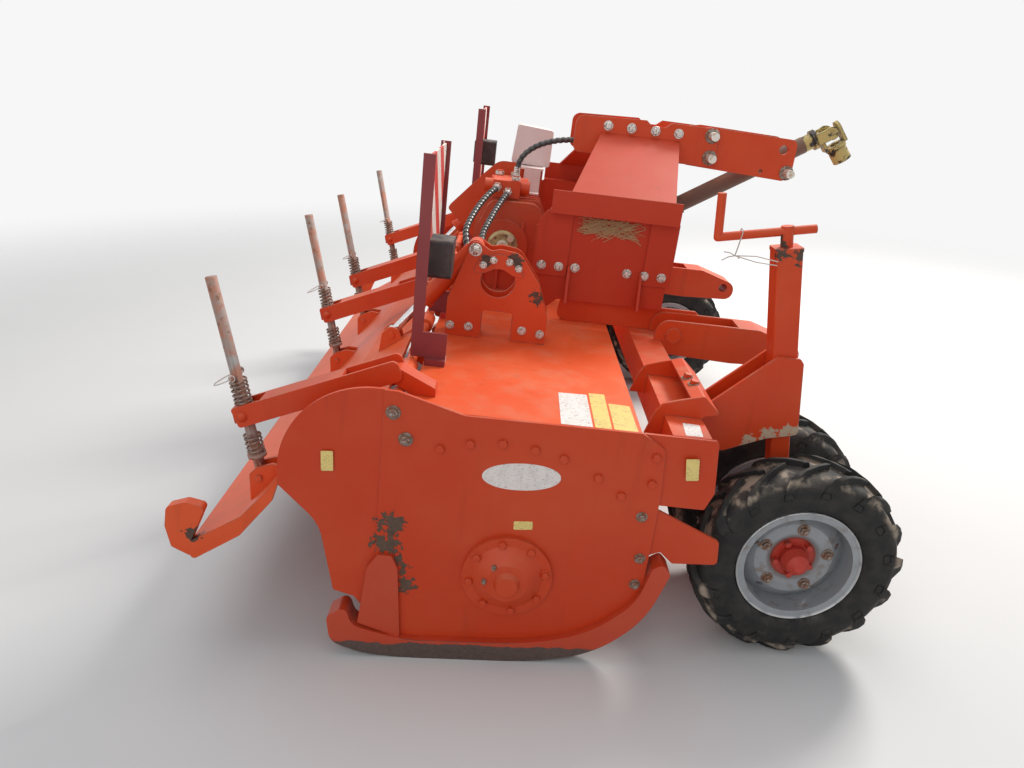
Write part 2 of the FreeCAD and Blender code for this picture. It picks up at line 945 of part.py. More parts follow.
# Gearbox
def gearbox():
    """Cast housing with ribs, foot flange and front bearing housing."""
    g = gearbox_half - gearbox_rib
    x0, x1 = gearbox_x0 + gearbox_rib, gearbox_x1 - gearbox_rib
    body = plate(
        (
            (x0, deck_z + 18),
            (x0, 700.0, 60.0),
            (x0 + 40, gearbox_top, 46.0),
            (x1 - 40, gearbox_top, 46.0),
            (x1, 720.0, 60.0),
            (x1, deck_z + 18),
        ),
        -g,
        g,
    )
    foot_y = gearbox_half + 20
    foot_top = deck_z + 18
    foot = box(gearbox_x0 - 14, gearbox_x1 + 14, -foot_y, foot_y, deck_z + seat_gap, foot_top)
    ribs = []
    for x in (x0 + 34, (x0 + x1) / 2 - 40, (x0 + x1) / 2 + 40, x1 - 34):
        ribs.append(box(x - 5, x + 5, -gearbox_half, gearbox_half, foot_top, gearbox_top - 70))
    for y in (-78.0, -26.0, 26.0, 78.0):
        ribs.append(
            plate(
                ((gearbox_x0, deck_z + 18), (gearbox_x0, 690.0, 40.0), (x0 + 34, gearbox_top + 8, 30.0),
                 (x1 - 34, gearbox_top + 8, 30.0), (gearbox_x1, 700.0, 40.0), (gearbox_x1, deck_z + 18)),
                y - 5,
                y + 5,
            )
        )
    flanges = [
        pin(cross_x, cross_z, -gearbox_half, -g + 2, cover_r + 38),
        pin(cross_x, cross_z, g - 2, gearbox_half, cross_r + 34),
        rod(Vector(x1 - 2, 0, input_z), Vector(gearbox_x1 + input_len - 40, 0, input_z), input_r),
        rod(Vector(x1 - 2, 0, input_z), Vector(gearbox_x1 + 12, 0, input_z), input_r + 22),
        rod(Vector(gearbox_x1, 0, input_z), Vector(gearbox_x1 + input_len, 0, input_z), 20),
    ]
    return fused([body, foot] + ribs + flanges)


parts["gearbox"] = [gearbox()]


def gearbox_cover():
    """Round cover with its filler cap on the right of the gearbox."""
    disc = turned(
        ((0, 0), (cover_r, 0), (cover_r, 8), (cover_r - 10, 12), (22, 12), (22, 30), (18, 34), (0, 34)),
        cross_x,
        cross_z,
        -gearbox_half,
        -1.0,
    )
    plug = pin(cross_x + 28, cross_z + 30, -gearbox_half - 24, -gearbox_half - 8, 11)
    return fused([disc, plug])


parts["gearbox_cover"] = [gearbox_cover()]

valve_z = gearbox_top + 8 + seat_gap
union_z = valve_z + 82  # top of the upright unions
union_y = -114.0  # face of the level unions
rear_union = (-152.0, valve_z + 38)  # x, z
middle_union = (-112.0, valve_z + 24)


def control_valve():
    """Hydraulic valve across the top of the gearbox, with its hose unions."""
    body = box(-168, -66, -92, 88, valve_z, valve_z + 62)
    spool = rod(Vector(-200, -52, valve_z + 36), Vector(-30, -52, valve_z + 36), 25)
    motor = rod(Vector(-178, 40, valve_z + 34), Vector(-36, 40, valve_z + 34), 29)
    pieces = [body, spool, motor]
    for x, y in ((-86, -70), (-150, 66), (-90, 66)):
        pieces.append(rod(Vector(x, y, valve_z + 60), Vector(x, y, union_z), 13))
    for x, z in (rear_union, middle_union):
        pieces.append(rod(Vector(x, -70, z), Vector(x, union_y, z), 13))
    return fused(pieces)


parts["control_valve"] = [control_valve()]


def control_box():
    """Pale junction box on its post behind the headstock."""
    case = plate(((-112, 912, 10), (-98, 1060, 12), (46, 1048, 12), (44, 906, 10)), 196, 322)
    foot = box(-56, 10, 70, 120, valve_z, valve_z + 6)
    stay = box(-56, 10, 112, 120, valve_z, shelf_z)
    shelf = box(-70, 20, 112, 300, shelf_z, shelf_z + 7)
    return [case, fused([foot, stay, shelf])]


parts["control_box"] = control_box()


# Headstock
def base_plates():
    """Upright plates that carry the headstock and the lower hitch arms."""
    outer = -hitch_y + hitch_w / 2
    holes = ((hitch_x0, 471.0, hitch_bolt_r + fit_gap),)
    outline = (
        (104.0, deck_z + seat_gap, 30.0),
        (118.0, head_base_z, 6.0),
        (600.0, head_base_z, 10.0),
        (640.0, 500.0, 10.0),
        (640.0, 380.0, 20.0),
        (beam_x + beam_size + 0.3, 350.0, 10.0),
        (beam_x + beam_size + 0.3, deck_z + seat_gap),
    )
    return plate(outline, outer, outer + base_t, holes)


parts["base_plates"] = pair(base_plates())


def lower_arm():
    """Hollow hitch arm, open on top behind its front cap, with the pin eye."""
    y0, y1 = -hitch_y - hitch_w / 2, -hitch_y + hitch_w / 2 - seat_gap
    outline = (
        (hitch_x0 - 62, hitch_z0 + 10, 50.0),
        (hitch_x0 - 62, hitch_z1, 50.0),
        (800.0, hitch_z1, 30.0),
        (hitch_x1 + hitch_eye_r, hitch_eye_z + 20, hitch_eye_r * 0.8),
        (hitch_x1 + hitch_eye_r, hitch_z0 + 10, hitch_eye_r * 0.8),
        (720.0, hitch_z0, 30.0),
    )
    holes = ((hitch_x1, hitch_eye_z, hitch_bore_r), (hitch_x0, 471.0, hitch_bolt_r + fit_gap))
    whole = plate(outline, y0, y1, holes)
    core = plate(
        (
            (hitch_x0 - 100, hitch_z0 + 24),
            (hitch_x0 - 100, hitch_z1 + 20),
            (730.0, hitch_z1 + 20),
            (730.0, hitch_z1 - 12),
            (792.0, hitch_z1 - 12),
            (hitch_x1 - 52, hitch_eye_z + 26),
            (hitch_x1 + 90, hitch_eye_z + 26),
            (hitch_x1 + 90, hitch_z0 - 20),
            (hitch_x1 - 52, hitch_z0 - 20),
            (hitch_x1 - 52, hitch_z0 + 12),
            (600.0, hitch_z0 + 12),
            (600.0, hitch_z0 + 24),
        ),
        y0 + hitch_wall,
        y1 - hitch_wall,
    )
    bolt = fused(
        [
            pin(hitch_x0, 471.0, y0, y1 + base_t + seat_gap, hitch_bolt_r),
            pin(hitch_x0, 471.0, y0 - 14, y0 - seat_gap, hitch_bolt_r + 6),
            pin(hitch_x0, 471.0, y0 - seat_gap, y0, hitch_bolt_r),
        ]
    )
    beam_front = beam_x + beam_size + seat_gap
    notch = box(hitch_x0 - 100, beam_front, y0 - 1, y1 + 1, hitch_z0 - 50, deck_z + seat_gap)
    bush = pin(hitch_x1, hitch_eye_z, y0, y1, hitch_bore_r + bush_wall)
    bush = bush.cut(pin(hitch_x1, hitch_eye_z, y0 - 1, y1 + 1, hitch_bore_r))
    return fused([whole.cut(core).cut(notch), bush]), bolt


arm_solids = lower_arm()
parts["lower_arms"] = pair(arm_solids[0]) + pair(arm_solids[1])


def headstock_side():
    """Side sheet with its bolted lap plates, gussets and folded top flange."""
    y = -head_y
    sheet = plate(
        (
            (head_x0, 620.0),
            (62.0, 492.0),
            (100.0, head_base_z + 0.0),
            (head_x1, head_base_z + 0.0),
            (head_x1, flange_z0 + 8),
            (head_x0 + 26, flange_z0 + 8),
            (head_x0, 800.0, 10.0),
        ),
        y,
        y + head_t,
    )
    laps = [
        plate(
            ((7.0, 612.0), (7.0, 800.0, 10.0), (30.0, flange_z0), (119.0, flange_z0), (119.0, 612.0)),
            y - 8,
            y,
        ),
        plate(((384.0, 612.0), (384.0, flange_z0), (481.0, flange_z0), (481.0, 612.0)), y - 8, y),
    ]
    ribs = []
    for x in (122.0, 372.0):
        corners = ((y, head_base_z), (y - 52, head_base_z), (y - 14, 650.0), (y, 650.0))
        points = [Vector(x, *corner) for corner in corners]
        face = Part.Face(Part.makePolygon(points + points[:1]))
        ribs.append(face.extrude(Vector(9, 0, 0)))
    shelf = box(head_x0 + 26, head_x1, -flange_y, y + 1, flange_z0, flange_z0 + 8)
    lip = box(head_x0 + 26, head_x1, -flange_y - 8, -flange_y, flange_z0, flange_z1)
    return fused([sheet] + laps + ribs + [shelf, lip])


parts["headstock_sides"] = pair(headstock_side())


def slope_sheet():
    """Sheet that leans in from the flange to the top plate."""
    corners = (
        Vector(99, -flange_y - 8, flange_z1),
        Vector(444, -flange_y - 8, flange_z1),
        Vector(493, -top_y + 30, 1098),
        Vector(213, -top_y + 30, 1098),
    )
    face = Part.Face(Part.makePolygon(list(corners) + [corners[0]]))
    normal = (corners[1] - corners[0]).cross(corners[3] - corners[0]).normalize()
    if normal.z > 0:
        normal = normal * -1
    body = face.extrude(normal * 8)
    body = body.cut(box(0, 700, -top_y - seat_gap, 200, 900, 1300))
    return body.cut(box(0, 700, -600, 0, 800, flange_z1 + seat_gap))


parts["headstock_sides"] += pair(slope_sheet())


def top_plates():
    """Plates at the head of the frame, tied together by a cross plate."""
    outline = (
        (top_x0, top_z0, 24.0),
        (top_x0, top_z1 - 6, 30.0),
        (360.0, top_z1 + 2),
        (382.0, top_z1 - 16, 12.0),
        (430.0, top_z1 - 16, 12.0),
        (452.0, top_z1 + 2, 8.0),
        (top_x1, top_z1, 16.0),
        (top_x1 + 16, 1075.0, 30.0),
        (top_x1, top_z0, 16.0),
    )
    holes = tuple((x, z, pin_r + fit_gap) for x, z in arm_pins)
    right = plate(outline, -top_y, -top_y + top_t, holes)
    tie = box(200, 500, -top_y + top_t, top_y - top_t, 1060, 1072)
    cheek = box(236, 246, -top_y + top_t, top_y - top_t, 1010, 1120)
    union = rod(Vector(236 - port_len, *head_port), Vector(236, *head_port), port_r)
    return [fused([right, tie, cheek, union, mirrored(right)])]


arm_pins = ((603.0, 1113.0), (607.0, 1037.0))
parts["top_plates"] = top_plates()


def top_link_arms():
    """Pair of arms inside the top plates, with the top-link bore at their tip."""
    y0 = -top_y + top_t + seat_gap
    outline = (
        (arm_x0, 1003.0, 12.0),
        (arm_x0, 1128.0, 10.0),
        (600.0, 1142.0, 20.0),
        (arm_x1, 1132.0, 26.0),
        (arm_x1, 998.0, 22.0),
        (890.0, 985.0, 10.0),
    )
    holes = [(x, z, pin_r + fit_gap) for x, z in arm_pins]
    holes += [(link_x, link_z, link_bore_r), (rest_pin_x, rest_pin_z, pin_r + fit_gap)]
    holes += [(807, 1011, 7), (528, 1026, 7)]
    right = plate(outline, y0, y0 + arm_t, holes)
    return [right, mirrored(right)]


parts["top_link_arms"] = top_link_arms()


def hitch_pins():
    """Cross pins through the arms; the foremost carries the parked shaft."""
    solids = []
    reach = top_y + pin_out
    for x, z in arm_pins:
        solids.append(pin(x, z, -reach, reach, pin_r))
    reach = top_y - top_t + pin_out
    solids.append(pin(rest_pin_x, rest_pin_z, -reach, reach, pin_r))
    return solids


parts["hitch_pins"] = hitch_pins()


# Cardan shaft: leaves the gearbox and lies on the rest pin.
def cardan_line():
    """Angle of the shaft that just clears the rest pin."""
    dx, dz = rest_pin_x - cardan_x0, rest_pin_z - input_z
    reach = math.hypot(dx, dz)
    return math.degrees(math.atan2(dz, dx) + math.asin((cardan_r + pin_r + seat_gap) / reach))


cardan_deg = cardan_line()
cardan_dir = along(cardan_deg)
cardan_in = Vector(cardan_x0, 0, input_z)
cardan_out = cardan_in + cardan_dir * ((cardan_x1 - cardan_x0) / cardan_dir.x)


def cardan_tube():
    """The two telescoped tubes of the parked shaft."""
    start = cardan_in + cardan_dir * 78
    end = cardan_out - cardan_dir * 100
    step = start + (end - start) * 0.45
    return fused([rod(start, step, cardan_r + 6), rod(step, end, cardan_r)])


parts["cardan_tube"] = [cardan_tube()]


def yoke(centre, angle, twist, length, hub_r, bore=0.0):
    """Forked yoke about its cross: the hub points along the angle, the ears turn with the twist."""
    pieces = [
        rod(Vector(yoke_neck, 0, 0), Vector(yoke_neck + 16, 0, 0), yoke_r),
        rod(Vector(yoke_neck + 12, 0, 0), Vector(length, 0, 0), hub_r),
    ]
    for y in (-44.0, 31.0):
        pieces.append(rod(Vector(0, y, 0), Vector(0, y + 13, 0), 24))
        pieces.append(box(0, yoke_neck + 6, y, y + 13, -21, 21))
    body = fused(pieces)
    if bore:
        body = body.cut(rod(Vector(30, 0, 0), Vector(length + 10, 0, 0), bore))
    body.rotate(Vector(), Vector(1, 0, 0), twist)
    body.rotate(Vector(), Vector(0, 1, 0), -angle)
    body.translate(centre)
    return body


def cross_piece(centre, angle):
    """Cross of the joint, its trunnions inside the ears of both yokes."""
    body = fused([pin(0, 0, -30.7, 30.7, 10), rod(Vector(0, 0, -30.7), Vector(0, 0, 30.7), 10)])
    body.rotate(Vector(), Vector(0, 1, 0), -angle)
    body.translate(centre)
    return body


yoke_drop_deg = -50.0
yoke_out_dir = along(yoke_drop_deg)


def cardan_joints():
    """Yokes and crosses at both ends of the shaft."""
    back = cardan_deg + 180.0
    solids = [
        yoke(cardan_in, cardan_deg, 0, 78 - seat_gap, yoke_r * 0.78),
        yoke(cardan_in, 180.0, 90, cardan_x0 - gearbox_x1 - input_len + 34, 27, 20 + fit_gap),
        cross_piece(cardan_in, cardan_deg),
        yoke(cardan_out, back, 0, 100 - seat_gap, yoke_r * 0.78),
        yoke(cardan_out, yoke_drop_deg, 90, yoke_len, 34, yoke_bore_r),
        cross_piece(cardan_out, yoke_drop_deg),
    ]
    return solids


parts["cardan_joints"] = cardan_joints()


# Flap
eye = Vector(eye_x, 0, eye_z)
rod_dir = (Vector(rod_tip_x, 0, rod_tip_z) - eye).normalize()
rod_len = (Vector(rod_tip_x, 0, rod_tip_z) - eye).Length
trunnion = eye + rod_dir * trunnion_up
rod_rows = (-half_width + rod_inset, -rod_inner_y, rod_inner_y, half_width - rod_inset)

flap_line = (
    (hinge_x - 36.0, 430.0),
    (-430.0, 388.0),
    (-512.0, 326.0),
    (-590.0, 240.0),
    (-650.0, 162.0),
    (-714.0, 82.0),
    (-846.0, -8.0),
)


def offset_line(line, distance):
    """Line moved down by a distance, square to itself."""
    moved = []
    for i, (x, z) in enumerate(line):
        before = line[max(i - 1, 0)]
        after = line[min(i + 1, len(line) - 1)]
        dx, dz = after[0] - before[0], after[1] - before[1]
        size = math.hypot(dx, dz)
        moved.append((x - dz / size * distance, z + dx / size * distance))
    return moved


def flap_sheet():
    """Bent sheet behind the rotor, its side flanges and the knuckles of its hinge."""
    half = inner_y - flap_side_gap
    lower = offset_line(flap_line, flap_t)
    outline = [p + (20.0,) if 0 < i < 6 else p for i, p in enumerate(flap_line)]
    outline += [p + (20.0,) if 0 < i < 6 else p for i, p in reversed(list(enumerate(lower)))]
    pieces = [plate(tuple(outline), -half, half)]
    side = (
        (-606.0, 226.0),
        (-650.0, 162.0, 20.0),
        (-714.0, 82.0, 20.0),
        (-846.0, -8.0),
        (-860.0, -38.0, 8.0),
        (-842.0, -66.0, 10.0),
        (-716.0, 24.0, 20.0),
        (-630.0, 140.0, 10.0),
    )
    for y in (-half, half - 10):
        pieces.append(plate(side, y, y + 10))
    knuckle = knuckle_rows()
    for y0, y1 in knuckle:
        leaf = plate(
            (
                (hinge_x - 6, hinge_z + 16),
                (hinge_x - 34, 440.0),
                (hinge_x - 64, 415.0),
                (hinge_x - 58, 404.0),
                (hinge_x - 6, hinge_z - 20),
            ),
            y0,
            y1,
        )
        pieces += [pin(hinge_x, hinge_z, y0, y1, knuckle_r), leaf]
    sheet = fused(pieces)
    for y0, y1 in knuckle:
        sheet = sheet.cut(pin(hinge_x, hinge_z, y0 - 1, y1 + 1, hinge_r + fit_gap))
    return sheet


def knuckle_rows():
    """Y span of each hinge knuckle of the flap."""
    rows = []
    for centre in (-1060.0, -600.0, 0.0, 600.0, 1060.0):
        rows.append((centre - 45, centre + 45))
    return rows


parts["flap_sheet"] = [flap_sheet()]


def toe():
    """Curled scoop at the trailing corner of the flap."""
    y0 = -half_width + plate_t + flap_side_gap
    outer = plate(
        (
            (-846.0, -8.5),
            (-806.0, 98.0, 12.0),
            (-856.0, 108.0, 18.0),
            (-908.0, 88.0, 16.0),
            (-914.0, 30.0, 16.0),
            (-899.0, -32.0, 10.0),
            (-852.0, -54.0),
        ),
        y0,
        y0 + toe_depth,
    )
    return outer


def on_flap(x, drop):
    """Point of the flap's upper surface at x, lowered by drop."""
    for (x0, z0), (x1, z1) in zip(flap_line, flap_line[1:]):
        if x0 >= x >= x1:
            return (x, z0 + (z1 - z0) * (x - x0) / (x1 - x0) - drop)
    raise ValueError(x)


def rod_lug(y0, y1):
    """One ear of the lug that a spring rod's eye is pinned to."""
    drop = flap_t * 0.5
    return plate(
        (
            on_flap(eye_x + 72, drop),
            on_flap(eye_x + 34, drop),
            on_flap(eye_x - 22, drop),
            (eye_x - 26, eye_z + 8, 14.0),
            (eye_x - 8, eye_z + 28, 16.0),
            (eye_x + 34, eye_z + 44, 10.0),
        ),
        y0,
        y1,
    )


def cylinder_lug(y0, y1):
    """One ear of the lug that a cylinder rod's eye is pinned to."""
    drop = flap_t * 0.5
    return plate(
        (
            on_flap(cyl_low_x + 34, drop),
            on_flap(-430.0, drop),
            on_flap(cyl_low_x - 38, drop),
            (cyl_low_x - 30, cyl_low_z + 2, 14.0),
            (cyl_low_x - 6, cyl_low_z + 26, 16.0),
            (cyl_low_x + 22, cyl_low_z + 20, 12.0),
        ),
        y0,
        y1,
    )


def flap_assembly():
    """Lug pairs with their pins, fused per row, and the scoops."""
    solids = []
    for y in rod_rows:
        pieces = [pin(eye_x, eye_z, y - lug_gap / 2 - lug_t - 8, y + lug_gap / 2 + lug_t + 8, lug_pin_r)]
        for s in (-1, 1):
            y0 = y + s * (lug_gap / 2) - (lug_t if s < 0 else 0)
            pieces.append(rod_lug(y0, y0 + lug_t))
        solids.append(fused(pieces))
    for y in (-arch_y, arch_y):
        pieces = [pin(cyl_low_x, cyl_low_z, y - 38, y + 38, cyl_pin_r)]
        for s in (-1, 1):
            y0 = y + s * 20 - (10 if s < 0 else 0)
            pieces.append(cylinder_lug(y0, y0 + 10))
        solids.append(fused(pieces))
    sheet = parts["flap_sheet"][0]
    return [solid.cut(sheet) for solid in solids] + pair(toe().cut(sheet))


parts["flap_fittings"] = flap_assembly()


def hinge_bar():
    """Fixed rod of the flap hinge and the hangers that carry it."""
    half = inner_y - seat_gap
    pieces = [pin(hinge_x, hinge_z, -half, half, hinge_r)]
    for y in (-900.0, -300.0, 300.0, 900.0):
        hanger = plate(
            (
                (hinge_x - 17, hinge_z - 14, 10.0),
                (hinge_x - 16, hinge_z + 20, 14.0),
                (deck_rear + 40, deck_z + 14, 6.0),
                (deck_rear + 40, deck_z + seat_gap),
                (deck_rear - 0.4, deck_z + seat_gap),
                (deck_rear - 0.4, deck_z - 40),
            ),
            y - 7,
            y + 7,
        )
        pieces.append(hanger)
    return fused(pieces)


parts["deck"].append(hinge_bar())


def flap_arm(y):
    """Channel arm of two plates round its foot bracket, holding the trunnion at its tip."""
    tip = trunnion
    front = Vector(-345.0, 0, 506.0)
    run = (front - tip)
    angle = math.degrees(math.atan2(run.z, run.x))
    half = arm_depth / 2
    length = run.Length
    solids = []
    profile = (
        (-20.0, -half, 8.0),
        (-20.0, half, 8.0),
        (length + 18, half, 16.0),
        (length + 18, -half, 16.0),
    )
    for s in (-1, 1):
        y0 = s * arm_gap / 2 - (arm_plate if s < 0 else 0)
        cheek = plate(profile, y0, y0 + arm_plate, ((0, 0, trunnion_r + fit_gap),))
        solids.append(cheek)
    solids.append(box(60, length - 130, -arm_gap / 2, arm_gap / 2, half - 8, half))
    whole = fused(solids)
    whole.rotate(Vector(), Vector(0, 1, 0), -angle)
    whole.translate(tip)
    foot = plate(
        (
            (deck_rear + 60, deck_z + seat_gap),
            (deck_rear - 2, deck_z + seat_gap),
            (-350.0, 478.0, 6.0),
            (-470.0, 424.0, 14.0),
            (-476.0, 452.0, 14.0),
            (-356.0, 512.0, 16.0),
            (-330.0, 514.0, 16.0),
            (deck_rear + 60, 470.0, 10.0),
        ),
        -arm_gap / 2,
        arm_gap / 2,
    )
    bracket = whole.fuse(foot).removeSplitter()
    bracket.translate(Vector(0, y, 0))
    return bracket


parts["flap_arms"] = [flap_arm(y) for y in rod_rows]


def trunnion_set(y):
    """Cross-bored block in the arm's tip, with the upper spring standing on it."""
    block_half = arm_gap / 2 - 1
    block = box(-block_half, block_half, -block_half, block_half, -trunnion_block, trunnion_block)
    angle = math.degrees(math.atan2(rod_dir.x, rod_dir.z))
    hole = Part.makeCylinder(rod_r + fit_gap, 200, Vector(0, 0, -100))
    block = block.cut(hole)
    spring = Part.makeCylinder(spring_r, spring_up_len, Vector(0, 0, trunnion_block + seat_gap))
    spring = spring.cut(Part.makeCylinder(spring_r - 7.5, 400, Vector(0, 0, -100)))
    block.rotate(Vector(), Vector(0, 1, 0), angle)
    spring.rotate(Vector(), Vector(0, 1, 0), angle)
    ends = arm_gap / 2 + arm_plate + 6
    gudgeon = pin(0, 0, -ends, ends, trunnion_r)
    through = Part.makeCylinder(rod_r + fit_gap, 200, Vector(0, 0, -100))
    through.rotate(Vector(), Vector(0, 1, 0), angle)
    body = fused([block, gudgeon]).cut(through)
    for piece in (body, spring):
        piece.translate(trunnion + Vector(0, y, 0))
    return [body, spring]


parts["trunnions"] = [s for y in rod_rows for s in trunnion_set(y)]


def spring_rod(y):
    """Drilled rod with its eye, linch pin, collar and lower spring."""
    start = rod_dir * 18
    shaft = rod(start, rod_dir * rod_len, rod_r)
    ring = pin(0, 0, -lug_gap / 2 + 3, lug_gap / 2 - 3, 20)
    low = trunnion_up - trunnion_block - spring_low_drop + trunnion_block
    low_end = trunnion_up - spring_low_drop - spring_low_len
    collar = rod(rod_dir * (low_end - 10), rod_dir * (low_end - seat_gap), spring_r)
    body = fused([shaft, ring, collar])
    body = body.cut(pin(0, 0, -60, 60, lug_pin_r + 4.0))
    stop = trunnion_up + trunnion_block + spring_up_len + 10
    side = Vector(0, 1, 0)
    linch = Part.makeCylinder(5, 76, rod_dir * stop - side * 38, side)
    body = fused([body, linch])
    spring = Part.makeCylinder(spring_r, spring_low_len, rod_dir * low_end, rod_dir)
    spring = spring.cut(Part.makeCylinder(spring_r - 7.5, 300, rod_dir * (low_end - 50), rod_dir))
    for piece in (body, spring):
        piece.translate(eye + Vector(0, y, 0))
    return [body, spring]


parts["spring_rods"] = [s for y in rod_rows for s in spring_rod(y)]

# Flap cylinders
cyl_top = Vector(cyl_top_x, 0, cyl_top_z)
cyl_low = Vector(cyl_low_x, 0, cyl_low_z)
cyl_dir = (cyl_low - cyl_top).normalize()
cyl_len = (cyl_low - cyl_top).Length


def barrel(y):
    """Cylinder barrel with its top eye, ports and gland."""
    eye_ring = pin(0, 0, -24, 24, 26)
    tube = rod(cyl_dir * 14, cyl_dir * (14 + barrel_len), barrel_r)
    gland = rod(cyl_dir * (14 + barrel_len), cyl_dir * (26 + barrel_len), barrel_r + 4)
    up = Vector(cyl_dir.z, 0, -cyl_dir.x)
    up = up if up.z > 0 else up * -1
    ports = [rod(cyl_dir * at, cyl_dir * at + up * (barrel_r + 14), 10) for at in (port_at, barrel_len - 20)]
    body = fused([eye_ring, tube, gland] + ports)
    bore = rod(cyl_dir * 60, cyl_dir * (60 + barrel_len), piston_r + fit_gap)
    body = body.cut(bore).cut(pin(0, 0, -60, 60, cyl_pin_r + fit_gap))
    body.translate(cyl_top + Vector(0, y, 0))
    return body


def piston(y):
    """Chromed rod with its lower eye."""
    shaft = rod(cyl_dir * 110, cyl_dir * (cyl_len - 12), piston_r)
    ring = pin(cyl_dir.x * cyl_len, cyl_dir.z * cyl_len, -17, 17, 21)
    body = fused([shaft, ring]).cut(
        pin(cyl_dir.x * cyl_len, cyl_dir.z * cyl_len, -60, 60, cyl_pin_r + 2.0)
    )
    body.translate(cyl_top + Vector(0, y, 0))
    return body


parts["cylinder_barrels"] = [barrel(-arch_y), barrel(arch_y)]
parts["cylinder_rods"] = [piston(-arch_y), piston(arch_y)]


def arch_bracket():
    """Two arched plates on the deck with the cylinder's upper pin between them."""
    outline = (
        (-262.0, deck_z + seat_gap),
        (-262.0, 566.0, 8.0),
        (cyl_top_x - 22, cyl_top_z - 10, 12.0),
        (cyl_top_x - 14, cyl_top_z + 24, 14.0),
        (cyl_top_x + 10, cyl_top_z + 24, 12.0),
        (cyl_top_x + 48, 729.0, 20.0),
        (cross_x, 737.0, 40.0),
        (cross_x + 62, 730.0, 50.0),
        (20.0, 640.0, 60.0),
        (58.0, 540.0, 20.0),
        (58.0, deck_z + seat_gap),
        (-52.0, deck_z + seat_gap),
        (-52.0, 540.0, 12.0),
        (-150.0, 540.0, 12.0),
        (-150.0, deck_z + seat_gap),
    )
    plates = []
    for s in (-1, 1):
        y0 = -arch_y + s * arch_gap / 2 - (arch_t if s < 0 else 0)
        holes = ((cross_x, cross_z, arch_hole_r), (cyl_top_x, cyl_top_z, cyl_pin_r))
        plates.append(plate(outline, y0, y0 + arch_t, holes))
    feet = [
        box(x0, x1, -arch_y - arch_gap / 2, -arch_y + arch_gap / 2, deck_z + seat_gap, deck_z + 8)
        for x0, x1 in ((-262.0, -150.0), (-52.0, 58.0))
    ]
    reach = arch_gap / 2 + arch_t + 12
    bolt = pin(cyl_top_x, cyl_top_z, -arch_y - reach, -arch_y + reach, cyl_pin_r)
    return fused(plates + feet + [bolt])


def blanking_plate():
    """Curved plate bolted over the upper half of the right bracket's hole."""
    half = arch_hole_r + 26
    outline = (
        (cross_x - half, cross_z + 18, 8.0),
        (cross_x - half + 14, cross_z + 56, 30.0),
        (cross_x - 24, cross_z + 84, 50.0),
        (cross_x + 24, cross_z + 84, 50.0),
        (cross_x + half - 14, cross_z + 56, 30.0),
        (cross_x + half, cross_z + 18, 8.0),
        (cross_x + 44, cross_z + 22, 12.0),
        (cross_x, cross_z + 46, 50.0),
        (cross_x - 44, cross_z + 22, 12.0),
    )
    face = -arch_y - arch_gap / 2 - arch_t
    return plate(outline, face - 5, face)


def guard_plate():
    """Upright guard beside the gearbox, its folded foot on the deck."""
    outline = (
        (-240.0, deck_z + seat_gap),
        (-240.0, 600.0, 30.0),
        (-350.0, 704.0, 12.0),
        (-340.0, 722.0, 12.0),
        (-222.0, 852.0, 60.0),
        (-160.0, 915.0, 60.0),
        (-76.0, 915.0, 6.0),
        (-76.0, shelf_z - seat_gap),
        (20.0, shelf_z - seat_gap, 10.0),
        (20.0, deck_z + seat_gap),
    )
    y0 = gearbox_half + 28
    sheet = plate(outline, y0, y0 + guard_t, ((cross_x, cross_z, arch_hole_r),))
    foot = box(-240, 20, y0, y0 + 34, deck_z + seat_gap, deck_z + seat_gap + guard_t)
    return fused([sheet, foot])


def arch_brackets():
    """Both brackets and the guard; the right bracket carries the two hose unions."""
    right, left = pair(arch_bracket())
    face = arch_y - arch_gap / 2 - arch_t
    unions = [pin(x, z, -face, -port_y, port_r) for x, z in (rear_port, front_port)]
    return [fused([right, blanking_plate()] + unions), left, guard_plate()]


parts["arch_brackets"] = arch_brackets()


# Marker boards: sign, plane x, top z, lamp z
board_rows = ((-1.0, -318.0, 1022.0, 718.0), (1.0, -262.0, 1088.0, 886.0))


def marker_board(sign, x, top, lamp_z):
    """Two angle posts, the striped sheet between them and the bolted foot."""
    solids = []
    y_out = sign * (half_width - board_inset)
    y_in = y_out - sign * board_width
    low = deck_z + 18
    pieces = []
    for y in (y_out, y_in):
        a, b = (y - 4, y + 4)
        pieces.append(box(x - post_w / 2, x + post_w / 2, a, b, low, top))
    y0, y1 = sorted((y_out, y_in))
    pieces.append(box(x - 3, x + 3, y0 + 4, y1 - 4, top - board_h, top - 6))
    for y in (y_out, y_in):
        s = 1 if y == y0 else -1
        lo, hi = sorted((y + s * 4, y + s * 36))
        pieces.append(box(x - 6, x - 3, lo, hi, top - board_h, top))
    back = x - post_w / 2
    if x > deck_rear:
        back = max(back, deck_rear + 4)
    front = max(x, deck_rear) + 62
    for y in (y_out, y_in):
        pieces.append(box(back, front, y - 4, y + 4, low, low + 74))
        pieces.append(box(deck_rear + 4, front, y - 22, y + 22, deck_z + seat_gap, low))
    return fused(pieces)


parts["marker_boards"] = [marker_board(*row) for row in board_rows]


def lamp(sign, x, top, z):
    """Lamp body on the front of the board."""
    y = sign * (half_width - board_inset - lamp_inset)
    case = box(x + 3 + seat_gap, x + 3 + lamp_w, y - 52, y + 52, z - lamp_h / 2, z + lamp_h / 2)
    case = case.makeFillet(10, [e for e in case.Edges if abs(e.Vertexes[0].X - e.Vertexes[1].X) > 1])
    lens = box(x - 32, x - 3 - seat_gap, y - 44, y + 44, z - lamp_h / 2 + 8, z + lamp_h / 2 - 8)
    lens = lens.makeFillet(8, [e for e in lens.Edges if abs(e.Vertexes[0].X - e.Vertexes[1].X) > 1])
    return [case, lens]


parts["lamps"] = [s for row in board_rows for s in lamp(*row)]


